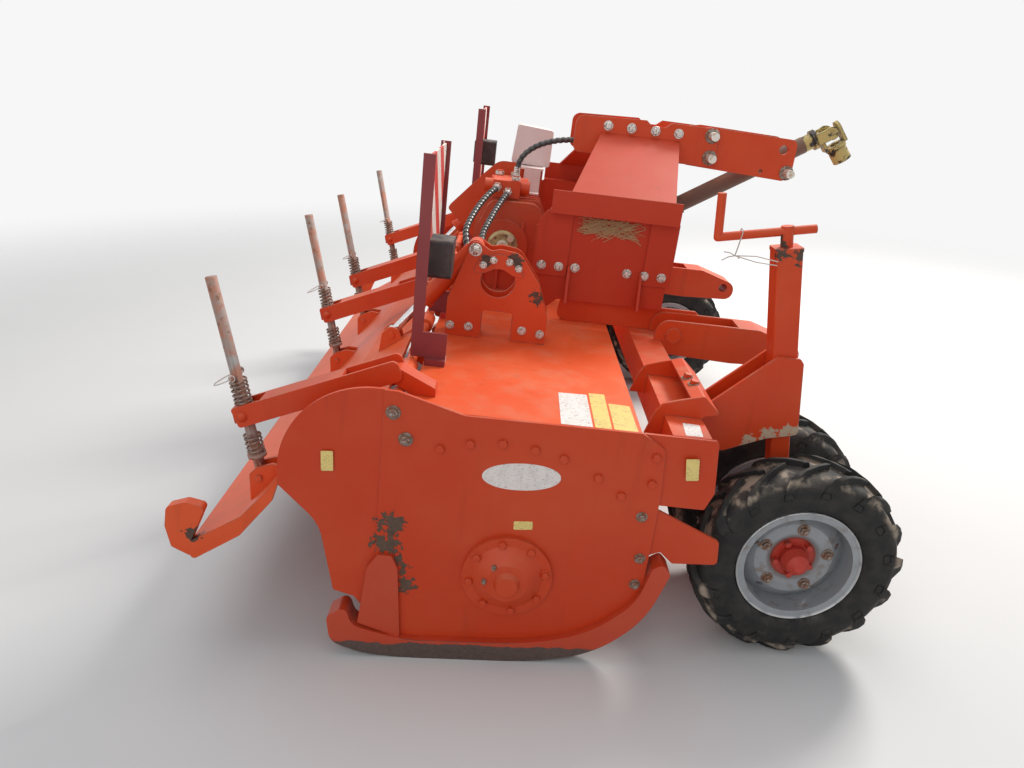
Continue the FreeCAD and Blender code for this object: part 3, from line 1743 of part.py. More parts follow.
def hose(points, radius):
    """Hose along a route: straight runs joined by tangent arcs."""
    pts = [Vector(*p) for p in points]
    runs = [(b - a).Length for a, b in zip(pts, pts[1:])]
    edges = []
    here = pts[0]
    radii = []
    for i in range(1, len(pts) - 1):
        back = (pts[i - 1] - pts[i]).normalize()
        ahead = (pts[i + 1] - pts[i]).normalize()
        turn = math.pi - back.getAngle(ahead)
        reach = 0.45 * min(runs[i - 1], runs[i])
        arc_r = reach / math.tan(turn / 2)
        radii.append(round(arc_r))
        half = (math.pi - turn) / 2
        middle = (back + ahead).normalize()
        peak = pts[i] + middle * (arc_r / math.sin(half) - arc_r)
        start, end = pts[i] + back * reach, pts[i] + ahead * reach
        edges.append(Part.LineSegment(here, start).toShape())
        edges.append(Part.Arc(start, peak, end).toShape())
        here = end
    edges.append(Part.LineSegment(here, pts[-1]).toShape())
    path = Part.Wire(edges)
    circle = Part.Circle(pts[0], pts[1] - pts[0], radius)
    body = path.makePipeShell([Part.Wire([circle.toShape()])], True, False)
    length = sum(e.Length for e in edges)
    ratio = round(body.Volume / (math.pi * radius**2 * length), 3)
    print("hose", round(length), "mm, radii", radii, "volume ratio", ratio)
    return body


hose_routes = {
    "hose_rear": (
        (rear_union[0], union_y, rear_union[1]), (rear_union[0], union_y - 30, rear_union[1]),
        (-172, -196, 838), (-204, -284, 802), (-226, -380, 768), (-238, -462, 736), (-224, -522, 700),
        (rear_port[0], -556, rear_port[1]), (rear_port[0], -port_y, rear_port[1]),
    ),
    "hose_middle": (
        (middle_union[0], union_y, middle_union[1]), (middle_union[0], union_y - 28, middle_union[1]),
        (-124, -192, 820), (-146, -284, 790), (-166, -380, 756), (-180, -456, 732), (-176, -516, 708),
        (front_port[0], -554, front_port[1]), (front_port[0], -port_y, front_port[1]),
    ),
    "hose_front": (
        (-86, -70, union_z), (-86, -70, union_z + 34), (-70, -68, union_z + 78), (-20, -61, union_z + 118),
        (50, -51, union_z + 142), (118, -43, head_port[1] + 1), (160, head_port[0], head_port[1]),
        (236 - port_len, head_port[0], head_port[1]),
    ),
}
for name, route in hose_routes.items():
    parts[name] = [hose(route, hose_r)]


# Stand the level drawing on the ground, its origin under the middle of the whole.
def parked(shape):
    """A piece of the level drawing, turned and lifted as it stands."""
    shape = shape.copy()
    shape.rotate(Vector(), Vector(0, 1, 0), park_pitch)
    shape.translate(Vector(0, 0, axis_height))
    return shape


compounds = {name: Part.makeCompound([parked(s) for s in solids]) for name, solids in parts.items()}
whole = Part.makeCompound(list(compounds.values())).BoundBox
origin = Vector((whole.XMin + whole.XMax) / 2, (whole.YMin + whole.YMax) / 2, whole.ZMin)


os.makedirs("parts", exist_ok=True)
for name, compound in compounds.items():
    compound.translate(origin * -1)
    for solid in compound.Solids:
        if not solid.isValid():
            print("not valid:", name)
    compound.exportStep("parts/" + name + ".step")
print(len(compounds), "nodes; box", [round(v, 1) for v in (whole.XLength, whole.YLength, whole.ZLength)])
print("origin", [round(v, 2) for v in origin])
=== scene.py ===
import logging
import math
import random
from dataclasses import dataclass, field
from enum import Enum
from typing import Iterable, Protocol, Sequence

import bmesh
import bpy
from mathutils import Matrix, Vector


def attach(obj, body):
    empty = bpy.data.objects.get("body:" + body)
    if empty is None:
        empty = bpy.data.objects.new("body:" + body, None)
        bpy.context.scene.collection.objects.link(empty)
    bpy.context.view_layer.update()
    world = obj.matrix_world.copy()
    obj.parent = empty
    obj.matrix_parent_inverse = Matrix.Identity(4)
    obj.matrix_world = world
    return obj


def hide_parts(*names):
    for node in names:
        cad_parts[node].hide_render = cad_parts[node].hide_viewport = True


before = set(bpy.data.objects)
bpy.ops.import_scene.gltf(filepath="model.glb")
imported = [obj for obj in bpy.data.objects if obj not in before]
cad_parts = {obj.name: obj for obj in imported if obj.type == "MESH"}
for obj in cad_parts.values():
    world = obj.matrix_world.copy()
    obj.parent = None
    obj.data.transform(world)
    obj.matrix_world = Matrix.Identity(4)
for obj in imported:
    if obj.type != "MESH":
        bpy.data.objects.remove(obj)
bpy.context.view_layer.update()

log = logging.getLogger("rotavator")

Point = tuple[float, float, float]
Colour = tuple[float, float, float]
Places = tuple[tuple[float, float], ...]
Patches = tuple[tuple[float, float, float, float], ...]  # x, y, z and radius of each

# The level drawing: millimetres about the middle of the rotor axis, +X forward, +Y left, +Z up.
PARK_PITCH = math.radians(4.5)
AXIS_HEIGHT = 271.4
GROUND_SLOPE = 0.0787  # rise of the ground for each millimetre forward
ORIGIN = Vector((167.05, 26.0, 0.0))
TURN = Matrix.Rotation(PARK_PITCH, 4, "Y")
TO_ROW = Matrix.Scale(0.001, 4) @ Matrix.Translation(Vector((0, 0, AXIS_HEIGHT)) - ORIGIN) @ TURN
FROM_ROW = TO_ROW.inverted()

# Places that several assemblies share
PLATE_Y = 1320.0  # outer face of an end plate
DECK_Z = 447.0  # top of the deck
CROSS_X, CROSS_Z = -110.0, 638.0  # axis of the cross shaft
ARCH_Y = 701.0  # outer face of an arch bracket
HEAD_Y = 420.0  # outer face of a headstock side
LEG_Y = 1040.0  # middle of a wheel leg
TYRE_OFFSET = 162.0  # middle of a tyre, out from its leg
TYRE_STAND = 290.0  # axle over the ground
WHEEL_X = 790.0
WHEEL_Z = (TYRE_STAND - AXIS_HEIGHT + WHEEL_X * math.sin(PARK_PITCH)) / math.cos(PARK_PITCH)


class Body(Enum):
    """Moving groups that carry the added pieces."""

    FRAME = "frame"
    TRUNNIONS = "trunnions"
    SPRING_RODS = "spring_rods"
    WHEELS_RIGHT = "wheels_right"
    WHEELS_LEFT = "wheels_left"


def circle(count: int, radius: float = 1.0, phase: float = 0.0) -> list[tuple[float, float]]:
    """Points spread evenly round a circle.

    Args:
        count: How many.
        radius: Radius of the circle.
        phase: Turn of the first point, in degrees.

    Returns:
        Both coordinates of each.
    """
    turns = [2 * math.pi * i / count + math.radians(phase) for i in range(count)]
    return [(radius * math.cos(a), radius * math.sin(a)) for a in turns]


def tone(colour: Colour, share: float) -> Colour:
    """The colour made lighter or darker, no channel past one."""
    return tuple(min(1.0, share * channel) for channel in colour)


# Shader maths


class Sock:
    """A shader socket that takes part in Python expressions."""

    def __init__(self, tree: "Tree", link: bpy.types.NodeSocket) -> None:
        """Keeps the socket and the tree that it belongs to."""
        self.tree = tree
        self.link = link

    def _op(self, operation: str, *values: "Sock | float") -> "Sock":
        """One Math node.

        Args:
            operation: The node's operation.
            values: Its inputs, in order.

        Returns:
            The result's socket.
        """
        return self.tree.node("Math", {"operation": operation}, dict(enumerate(values)))

    def __add__(self, other: "Sock | float") -> "Sock":
        """Sum."""
        return self._op("ADD", self, other)

    def __radd__(self, other: float) -> "Sock":
        """Sum, the number first."""
        return self._op("ADD", other, self)

    def __sub__(self, other: "Sock | float") -> "Sock":
        """Difference."""
        return self._op("SUBTRACT", self, other)

    def __rsub__(self, other: float) -> "Sock":
        """Difference, the number first."""
        return self._op("SUBTRACT", other, self)

    def __mul__(self, other: "Sock | float") -> "Sock":
        """Product."""
        return self._op("MULTIPLY", self, other)

    def __rmul__(self, other: float) -> "Sock":
        """Product, the number first."""
        return self._op("MULTIPLY", other, self)

    def __truediv__(self, other: "Sock | float") -> "Sock":
        """Quotient."""
        return self._op("DIVIDE", self, other)

    def __lt__(self, other: "Sock | float") -> "Sock":
        """One where this is the less, else nought."""
        return self._op("LESS_THAN", self, other)

    def __abs__(self) -> "Sock":
        """Size without sign."""
        return self._op("ABSOLUTE", self)

    def __pow__(self, power: float) -> "Sock":
        """Power."""
        return self._op("POWER", self, power)

    def wave(self) -> "Sock":
        """Sine."""
        return self._op("SINE", self)

    def part(self) -> "Sock":
        """Fractional part."""
        return self._op("FRACT", self)

    def most(self, other: "Sock | float") -> "Sock":
        """The larger of the two."""
        return self._op("MAXIMUM", self, other)

    def rise(self, low: float, high: float) -> "Sock":
        """Smooth step from nought at low to one at high."""
        return self.tree.node(
            "MapRange", {"interpolation_type": "SMOOTHSTEP"}, {0: self, 1: low, 2: high, 3: 0.0, 4: 1.0}
        )


class Tree:
    """Node tree of one material or world."""

    def __init__(self, name: str, world: bool = False) -> None:
        """Starts an empty material, or an empty world."""
        self.material = (bpy.data.worlds if world else bpy.data.materials).new(name)
        self.material.use_nodes = True
        self.nodes = self.material.node_tree.nodes
        self.nodes.clear()
        self._level: Sock | None = None

    def node(
        self, kind: str, settings: dict | None = None, inputs: dict | None = None, out: int | str = 0
    ) -> Sock:
        """Adds a node.

        Args:
            kind: The node's type, without its ShaderNode prefix.
            settings: Attributes set first; "stops" fills a colour ramp.
            inputs: Values or links by socket name or number.
            out: Name or number of the wanted output.

        Returns:
            The output's socket.
        """
        made = self.nodes.new("ShaderNode" + kind)
        for name, value in (settings or {}).items():
            if name == "stops":
                ramp = made.color_ramp
                while len(ramp.elements) < len(value):
                    ramp.elements.new(0.5)
                for stop, (at, colour) in zip(ramp.elements, value):
                    stop.position = at
                    stop.color = (*colour, 1.0)
            else:
                setattr(made, name, value)
        for key, value in (inputs or {}).items():
            if value is None:
                continue
            socket = made.inputs[key]
            if isinstance(value, Sock):
                self.material.node_tree.links.new(value.link, socket)
            elif socket.type == "RGBA":
                socket.default_value = (*value, 1.0)
            else:
                socket.default_value = value
        return Sock(self, made.outputs[out])

    def mix(self, factor: "Sock | float", a: "Sock | Colour", b: "Sock | Colour") -> Sock:
        """Colour between a and b."""
        return self.node("Mix", {"data_type": "RGBA"}, {0: factor, 6: a, 7: b}, 2)

    def level(self) -> Sock:
        """Position in the level drawing, in millimetres."""
        if self._level is None:
            shift = TURN.inverted() @ (ORIGIN - Vector((0, 0, AXIS_HEIGHT)))
            self._level = self.node(
                "Mapping",
                inputs={
                    "Vector": self.node("TexCoord", out="Object"),
                    "Location": shift,
                    "Rotation": (0.0, -PARK_PITCH, 0.0),
                    "Scale": (1000.0, 1000.0, 1000.0),
                },
            )
        return self._level

    def axes(self) -> tuple[Sock, Sock, Sock]:
        """The level position's x, y and z."""
        split = self.node("SeparateXYZ", inputs={0: self.level()})
        outs = split.link.node.outputs
        return split, Sock(self, outs[1]), Sock(self, outs[2])

    def away_from(self, x0: float, z0: float) -> Sock:
        """Distance from the crosswise line through x0, z0, in millimetres."""
        x, _, z = self.axes()
        return ((x - x0) ** 2 + (z - z0) ** 2) ** 0.5

    def cloud(
        self, size: float, detail: float = 4.0, stretch: Point = (1, 1, 1), rough: float = 0.55
    ) -> Sock:
        """Noise.

        Args:
            size: Size of its features in millimetres.
            detail: How finely they are broken up.
            stretch: What each coordinate is multiplied by.
            rough: How strong the fine detail is.

        Returns:
            The noise, from nought to one.
        """
        at = self.node("VectorMath", {"operation": "MULTIPLY"}, {0: self.level(), 1: stretch})
        settings = {"Vector": at, "Scale": 1.0 / size, "Detail": detail, "Roughness": rough}
        return self.node("TexNoise", inputs=settings)

    def upward(self) -> Sock:
        """How far a face looks up, from nought to one."""
        normal = self.node("NewGeometry", out="Normal")
        return self.node("SeparateXYZ", inputs={0: normal}, out=2).rise(0.05, 0.95)

    def soft_normal(self, radius: float) -> Sock:
        """Normal rounded over a radius in metres."""
        return self.node("Bevel", {"samples": 4}, {"Radius": radius})

    def edges(self, radius: float) -> Sock:
        """One on sharp edges, falling to nought on the flats."""
        normal = self.node("NewGeometry", out="Normal")
        dot = self.node(
            "VectorMath", {"operation": "DOT_PRODUCT"}, {0: self.soft_normal(radius), 1: normal}, "Value"
        )
        return (1.0 - dot).rise(0.01, 0.16)

    def near(self, centre: Point, radius: float, fade: float = 0.5) -> Sock:
        """One inside a ball of the level drawing, fading out at its rim."""
        away = self.node("VectorMath", {"operation": "DISTANCE"}, {0: self.level(), 1: centre}, "Value")
        return 1.0 - away.rise(radius * (1 - fade), radius)

    def blotch(self, centre: Point, radius: float, grain: float = 20.0) -> Sock:
        """One in ragged patches that crowd round a centre.

        Args:
            centre: Middle of the patches in the level drawing.
            radius: How far they reach.
            grain: Size of their ragged edge in millimetres.

        Returns:
            The mask.
        """
        ragged = self.cloud(grain, 6, rough=0.62) * 1.1
        return (self.near(centre, radius, 0.9) * 0.5 + ragged).rise(0.91, 0.96)

    def finish(
        self,
        colour: "Sock | Colour",
        rough: "Sock | float",
        metal: "Sock | float" = 0.0,
        height: Sock | None = None,
        depth: float = 0.0004,
        rounding: float = 0.0,
        coat: float = 0.0,
        specular: float = 0.5,
        alpha: "Sock | float" = 1.0,
    ) -> bpy.types.Material:
        """Closes the tree with a Principled surface.

        Args:
            colour: Base colour.
            rough: Roughness.
            metal: Metallic share.
            height: Bump, from nought to one.
            depth: The bump's full depth in metres.
            rounding: Radius of rounded-looking edges in metres.
            coat: Weight of the clear coat.
            specular: Specular level.
            alpha: Opacity.

        Returns:
            The finished material.
        """
        base = self.soft_normal(rounding) if rounding else None
        if height is not None:
            base = self.node(
                "Bump", inputs={"Height": height, "Distance": depth, "Strength": 1.0, "Normal": base}
            )
        surface = self.node(
            "BsdfPrincipled",
            inputs={
                "Base Color": colour,
                "Roughness": rough,
                "Metallic": metal,
                "Normal": base,
                "Coat Weight": coat,
                "Coat Roughness": 0.12,
                "Specular IOR Level": specular,
                "Alpha": alpha,
            },
        )
        self.close("OutputMaterial", surface)
        return self.material

    def close(self, kind: str, surface: Sock) -> None:
        """Adds the output node and links the surface to it."""
        out = self.nodes.new("ShaderNode" + kind)
        self.material.node_tree.links.new(surface.link, out.inputs["Surface"])


# Finishes


class Finish(Protocol):
    """What every finish can do."""

    def material(self) -> bpy.types.Material:
        """Builds the material."""


@dataclass(frozen=True)
class Paint:
    """Sun-faded enamel with dust and a painted highlight on top, streaks down the sides and worn edges.

    Attributes:
        name: Name of the material.
        base: Colour of the sound paint.
        faded: Colour where sun and rain have chalked it.
        primer: What shows where it has worn through.
        wear: How far the edges are worn, from nought to one.
        dust: Strength of the film on upward faces, part dust, part painted highlight.
        rough: Roughness of the sound paint.
        chips: Share of the surface with small chips.
        mud: Where mud is caked: x, y, z, radius.
        worn: Where the paint is rubbed through to dark steel: x, y, z, radius.
        scraped: Where it is scraped down to a pale coat: x, y, z, radius.
    """

    name: str
    base: Colour = (0.62, 0.050, 0.007)
    faded: Colour = (0.68, 0.078, 0.018)
    primer: Colour = (0.20, 0.105, 0.075)
    wear: float = 0.55
    dust: float = 0.5
    rough: float = 0.36
    chips: float = 0.35
    mud: Patches = ()
    worn: Patches = ()
    scraped: Patches = ()

    def material(self) -> bpy.types.Material:
        """Builds the material."""
        t = Tree(self.name)
        broad = t.cloud(420, 3)
        fine = t.cloud(9, 5)
        streaks = t.cloud(46, 5, (1.0, 1.0, 0.09))
        colour = t.mix(broad.rise(0.38, 0.68) * 0.7, self.base, self.faded)
        colour = t.mix(streaks.rise(0.55, 0.8) * 0.28, colour, tone(self.base, 0.55))
        # Film on upward faces: part dust, part painted highlight that makes the tops lighter.
        up = t.upward()
        speck = t.cloud(70, 6).rise(0.42, 0.72)
        film = (up * 0.55 + 0.10) * (speck * 0.75 + 0.25) * self.dust
        colour = t.mix(film, colour, (0.46, 0.27, 0.16))
        edge = t.edges(0.005)
        bare = (edge * self.wear + t.cloud(26, 6).rise(0.60, 0.74) * self.chips * 0.55).rise(0.52, 0.62)
        bare = bare * t.cloud(60, 3).rise(0.40, 0.55)
        colour = t.mix(bare, colour, t.mix(fine, self.primer, tone(self.primer, 1.9)))
        rough = self.rough + film * 0.45 + bare * 0.3 + fine * 0.10
        height = fine * 0.35 + broad * 0.3 - bare * 0.5
        for places, grain, dark, pale in (
            (self.worn, 14, (0.035, 0.026, 0.022), (0.13, 0.07, 0.045)),
            (self.scraped, 12, (0.40, 0.27, 0.17), (0.56, 0.46, 0.34)),
        ):
            for x, y, z, radius in places:
                rubbed = t.blotch((x, y, z), radius, grain)
                colour = t.mix(rubbed, colour, t.mix(fine, dark, pale))
        for x, y, z, radius in self.mud:
            caked = t.blotch((x, y, z), radius)
            colour = t.mix(caked, colour, t.mix(t.cloud(7, 4), (0.050, 0.032, 0.024), (0.17, 0.11, 0.075)))
            rough = rough + caked * 0.4
            height = height + caked * (0.7 + fine)
        return t.finish(colour, rough, 0.0, height, 0.0007, 0.0016, specular=0.32)


@dataclass(frozen=True)
class Metal:
    """Bare or plated metal with rust in patches.

    Attributes:
        name: Name of the material.
        base: Colour of the clean metal.
        rust: Colour of the rust.
        amount: Share that is rusty.
        rough: Roughness of the clean metal.
        grain: Size of the rust patches in millimetres.
        metallic: Metallic share of the clean metal.
    """

    name: str
    base: Colour
    rust: Colour = (0.16, 0.065, 0.03)
    amount: float = 0.4
    rough: float = 0.38
    grain: float = 22.0
    metallic: float = 0.9

    def material(self) -> bpy.types.Material:
        """Builds the material."""
        t = Tree(self.name)
        fine = t.cloud(self.grain / 5, 5)
        start, full = 0.80 - self.amount * 0.45, 0.98 - self.amount * 0.4
        patch = (t.cloud(self.grain, 6) + fine * 0.25).rise(start, full)
        rusty = t.mix(fine, self.rust, tone(self.rust, 2.1))
        shade = t.mix(t.cloud(self.grain * 2, 2), self.base, tone(self.base, 0.7))
        colour = t.mix(patch, shade, rusty)
        rough = self.rough + patch * 0.42 + fine * 0.12
        return t.finish(colour, rough, (1.0 - patch) * self.metallic, fine + patch * 0.6, 0.0004, 0.0008)


@dataclass(frozen=True)
class Plastic:
    """Moulded plastic or rubber with a fine grain and a film of dust.

    Attributes:
        name: Name of the material.
        base: Its colour when clean.
        rough: Its roughness when clean.
        dust: Colour of the dust.
        film: How much dust lies on it.
        grain: Size of the grain in millimetres.
    """

    name: str
    base: Colour
    rough: float = 0.45
    dust: Colour = (0.34, 0.29, 0.24)
    film: float = 0.35
    grain: float = 2.2

    def material(self) -> bpy.types.Material:
        """Builds the material."""
        t = Tree(self.name)
        fine = t.cloud(self.grain, 4)
        lying = (t.upward() * 0.7 + 0.2) * t.cloud(34, 5).rise(0.40, 0.72) * self.film
        colour = t.mix(lying, t.mix(fine, self.base, tone(self.base, 1.35)), self.dust)
        return t.finish(colour, self.rough + lying * 0.4 + fine * 0.12, 0.0, fine, 0.0002, 0.0012)


@dataclass(frozen=True)
class SkidSteel:
    """Orange paint rubbed off the sole and the nose by the ground.

    Attributes:
        bare: Height over the ground up to which it is bare, in millimetres.
        sound: Height from which the paint is sound.
    """

    bare: float = 22.0
    sound: float = 78.0

    def material(self) -> bpy.types.Material:
        """Builds the material."""
        t = Tree("skid worn paint")
        x, _, z = t.axes()
        sole = 1.0 - (z + x * -GROUND_SLOPE + AXIS_HEIGHT).rise(self.bare, self.sound)
        ragged = (sole + t.cloud(55, 6) * 0.9 + t.edges(0.006) * 0.35).rise(0.92, 1.06)
        fine = t.cloud(8, 5)
        metal = t.mix(fine, (0.055, 0.038, 0.034), (0.17, 0.115, 0.095))
        paint = t.mix(t.cloud(150, 4), (0.52, 0.042, 0.010), (0.55, 0.070, 0.024))
        colour = t.mix(ragged, paint, metal)
        return t.finish(colour, 0.42 + ragged * 0.2, ragged * 0.35, fine + ragged * -0.5, 0.0008, 0.002)


class DrilledRod:
    """Weathered rod: pale pinkish paint gone to rust and bare steel near its tip."""

    def material(self) -> bpy.types.Material:
        """Builds the material."""
        t = Tree("spring rod weathered paint")
        fine = t.cloud(6, 5)
        patch = t.cloud(38, 6)
        colour = t.mix(patch.rise(0.40, 0.62), (0.33, 0.245, 0.21), (0.40, 0.17, 0.11))
        colour = t.mix(t.cloud(16, 6).rise(0.56, 0.68), colour, (0.22, 0.10, 0.06))
        colour = t.mix(t.cloud(85, 2).rise(0.60, 0.74), colour, (0.36, 0.34, 0.32))
        return t.finish(colour, 0.52 + fine * 0.2, 0.15, fine + patch, 0.0004, 0.001)


@dataclass(frozen=True)
class StripedSheet:
    """Dark red posts with a white sheet between them, crossed by slanting red bands.

    Attributes:
        pitch: Height of a red band with a white one, in millimetres.
        middle: Middle of the sheet, out from the middle of the machine.
        half: Half the sheet's width.
    """

    pitch: float = 190.0
    middle: float = 750.0
    half: float = 224.0

    def material(self) -> bpy.types.Material:
        """Builds the material."""
        t = Tree("marker board paint")
        _, y, z = t.axes()
        band = ((y + z) / self.pitch).part().rise(0.49, 0.51)
        sheet = (abs(abs(y) - self.middle)) < self.half
        fine = t.cloud(12, 5)
        paint = t.mix(t.cloud(120, 4), (0.19, 0.018, 0.022), (0.27, 0.045, 0.045))
        stripes = t.mix(band, (0.74, 0.70, 0.64), (0.56, 0.035, 0.025))
        dirt = t.cloud(60, 6).rise(0.5, 0.78) * 0.45
        colour = t.mix(sheet, paint, t.mix(dirt, stripes, (0.33, 0.27, 0.21)))
        return t.finish(colour, 0.42 + fine * 0.2, 0.0, fine, 0.0003, 0.0012)


@dataclass(frozen=True)
class WheelPaint:
    """Grey rim with a red hub and rust where the two meet.

    Attributes:
        hub: Radius of the hub's edge in millimetres.
        lip: Radius at which the bright lip begins.
    """

    hub: float = 64.0
    lip: float = 162.0

    def material(self) -> bpy.types.Material:
        """Builds the material."""
        t = Tree("wheel paint")
        away = t.away_from(WHEEL_X, WHEEL_Z)
        fine = t.cloud(10, 6)
        grey = t.mix(t.cloud(60, 5), (0.23, 0.245, 0.26), (0.36, 0.37, 0.385))
        grey = t.mix(t.cloud(40, 6).rise(0.52, 0.72) * 0.7, grey, (0.20, 0.15, 0.12))
        red = t.mix(fine, (0.42, 0.022, 0.014), (0.55, 0.05, 0.024))
        seam = 1.0 - abs(away - self.hub).rise(2.0, 14.0)
        colour = t.mix(away < self.hub - 1.0, grey, red)
        colour = t.mix(seam * 0.5, colour, (0.10, 0.05, 0.03))
        lip = away.rise(self.lip, self.lip + 6.0) * t.cloud(30, 4).rise(0.3, 0.5)
        colour = t.mix(lip * 0.7, colour, (0.72, 0.71, 0.69))
        return t.finish(colour, 0.44 + fine * 0.2 - lip * 0.15, lip * 0.3, fine, 0.0004, 0.0015)


@dataclass(frozen=True)
class TyreRubber:
    """Dusty black rubber with clay dried on the shoulders.

    Attributes:
        wall: Radius up to which the wall is dusty, in millimetres.
        tread: Radius of the tread between the lugs.
    """

    wall: float = 248.0
    tread: float = 270.0

    def material(self) -> bpy.types.Material:
        """Builds the material."""
        t = Tree("tyre rubber")
        away = t.away_from(WHEEL_X, WHEEL_Z)
        fine = t.cloud(3, 4)
        grit = t.cloud(40, 6)
        colour = t.mix(fine, (0.012, 0.012, 0.013), (0.024, 0.023, 0.022))
        side = 1.0 - away.rise(self.wall, self.tread + 2.0)
        dust = (side * 0.10 + t.upward() * 0.50 + 0.05) * grit.rise(0.34, 0.70)
        colour = t.mix(dust * 0.55, colour, (0.23, 0.20, 0.165))
        shoulder = (1.0 - away.rise(self.tread, self.tread + 9.0)) * away.rise(self.wall, self.wall + 16.0)
        clay = shoulder * t.cloud(55, 5).rise(0.46, 0.62)
        colour = t.mix(clay * 0.75, colour, (0.42, 0.34, 0.26))
        height = fine + grit * 0.6 + (away * 0.55).wave() * 0.12
        return t.finish(colour, 0.70 + dust * 0.2, 0.0, height, 0.0005, 0.003, specular=0.25)


@dataclass(frozen=True)
class CoverMetal:
    """Passivated round cover with a cream filler cap and plug.

    Attributes:
        cap: Radius of the cap in millimetres.
        plug: Radius of the plug.
        plug_at: The plug's middle, forward and up from the cover's.
    """

    cap: float = 23.0
    plug: float = 12.0
    plug_at: tuple[float, float] = (28.0, 30.0)

    def material(self) -> bpy.types.Material:
        """Builds the material."""
        t = Tree("passivated cover")
        fine = t.cloud(7, 5)
        cap = t.away_from(CROSS_X, CROSS_Z) < self.cap
        plug = t.away_from(CROSS_X + self.plug_at[0], CROSS_Z + self.plug_at[1]) < self.plug
        pale = cap.most(plug)
        rusty = (t.cloud(38, 6) + fine * 0.2).rise(0.52, 0.72)
        plate = t.mix(rusty, (0.50, 0.41, 0.20), (0.27, 0.18, 0.08))
        cream = t.mix(t.cloud(16, 5).rise(0.45, 0.7) * 0.5, (0.68, 0.61, 0.46), (0.36, 0.28, 0.18))
        colour = t.mix(pale, plate, cream)
        return t.finish(colour, 0.42 + rusty * 0.25, (1.0 - pale) * 0.35, fine, 0.0004, 0.0015)


class WornYoke:
    """Ochre paint rubbed to black grease and steel."""

    def material(self) -> bpy.types.Material:
        """Builds the material."""
        t = Tree("yoke worn ochre")
        fine = t.cloud(5, 5)
        grease = (t.cloud(34, 5) + t.edges(0.006) * 0.3).rise(0.50, 0.60)
        paint = t.mix(fine, (0.46, 0.33, 0.08), (0.60, 0.47, 0.19))
        colour = t.mix(grease, paint, (0.035, 0.028, 0.022))
        return t.finish(colour, 0.5 - grease * 0.15, grease * 0.25, fine, 0.0004, 0.0015)


@dataclass(frozen=True)
class BlankSticker:
    """Blank film sticker, yellowed, lifted and scuffed at random."""

    name: str
    base: Colour

    def material(self) -> bpy.types.Material:
        """Builds the material."""
        t = Tree(self.name)
        scuffs = (t.cloud(9, 6, (1, 1, 3)) + t.cloud(2, 2) * 0.2).rise(0.66, 0.76)
        stain = t.cloud(30, 4).rise(0.4, 0.7)
        colour = t.mix(stain * 0.4, self.base, tone(self.base, 0.72))
        colour = t.mix(scuffs * 0.7, colour, (0.42, 0.22, 0.14))
        return t.finish(colour, 0.38 + scuffs * 0.3, 0.0, t.cloud(14, 3), 0.0003)


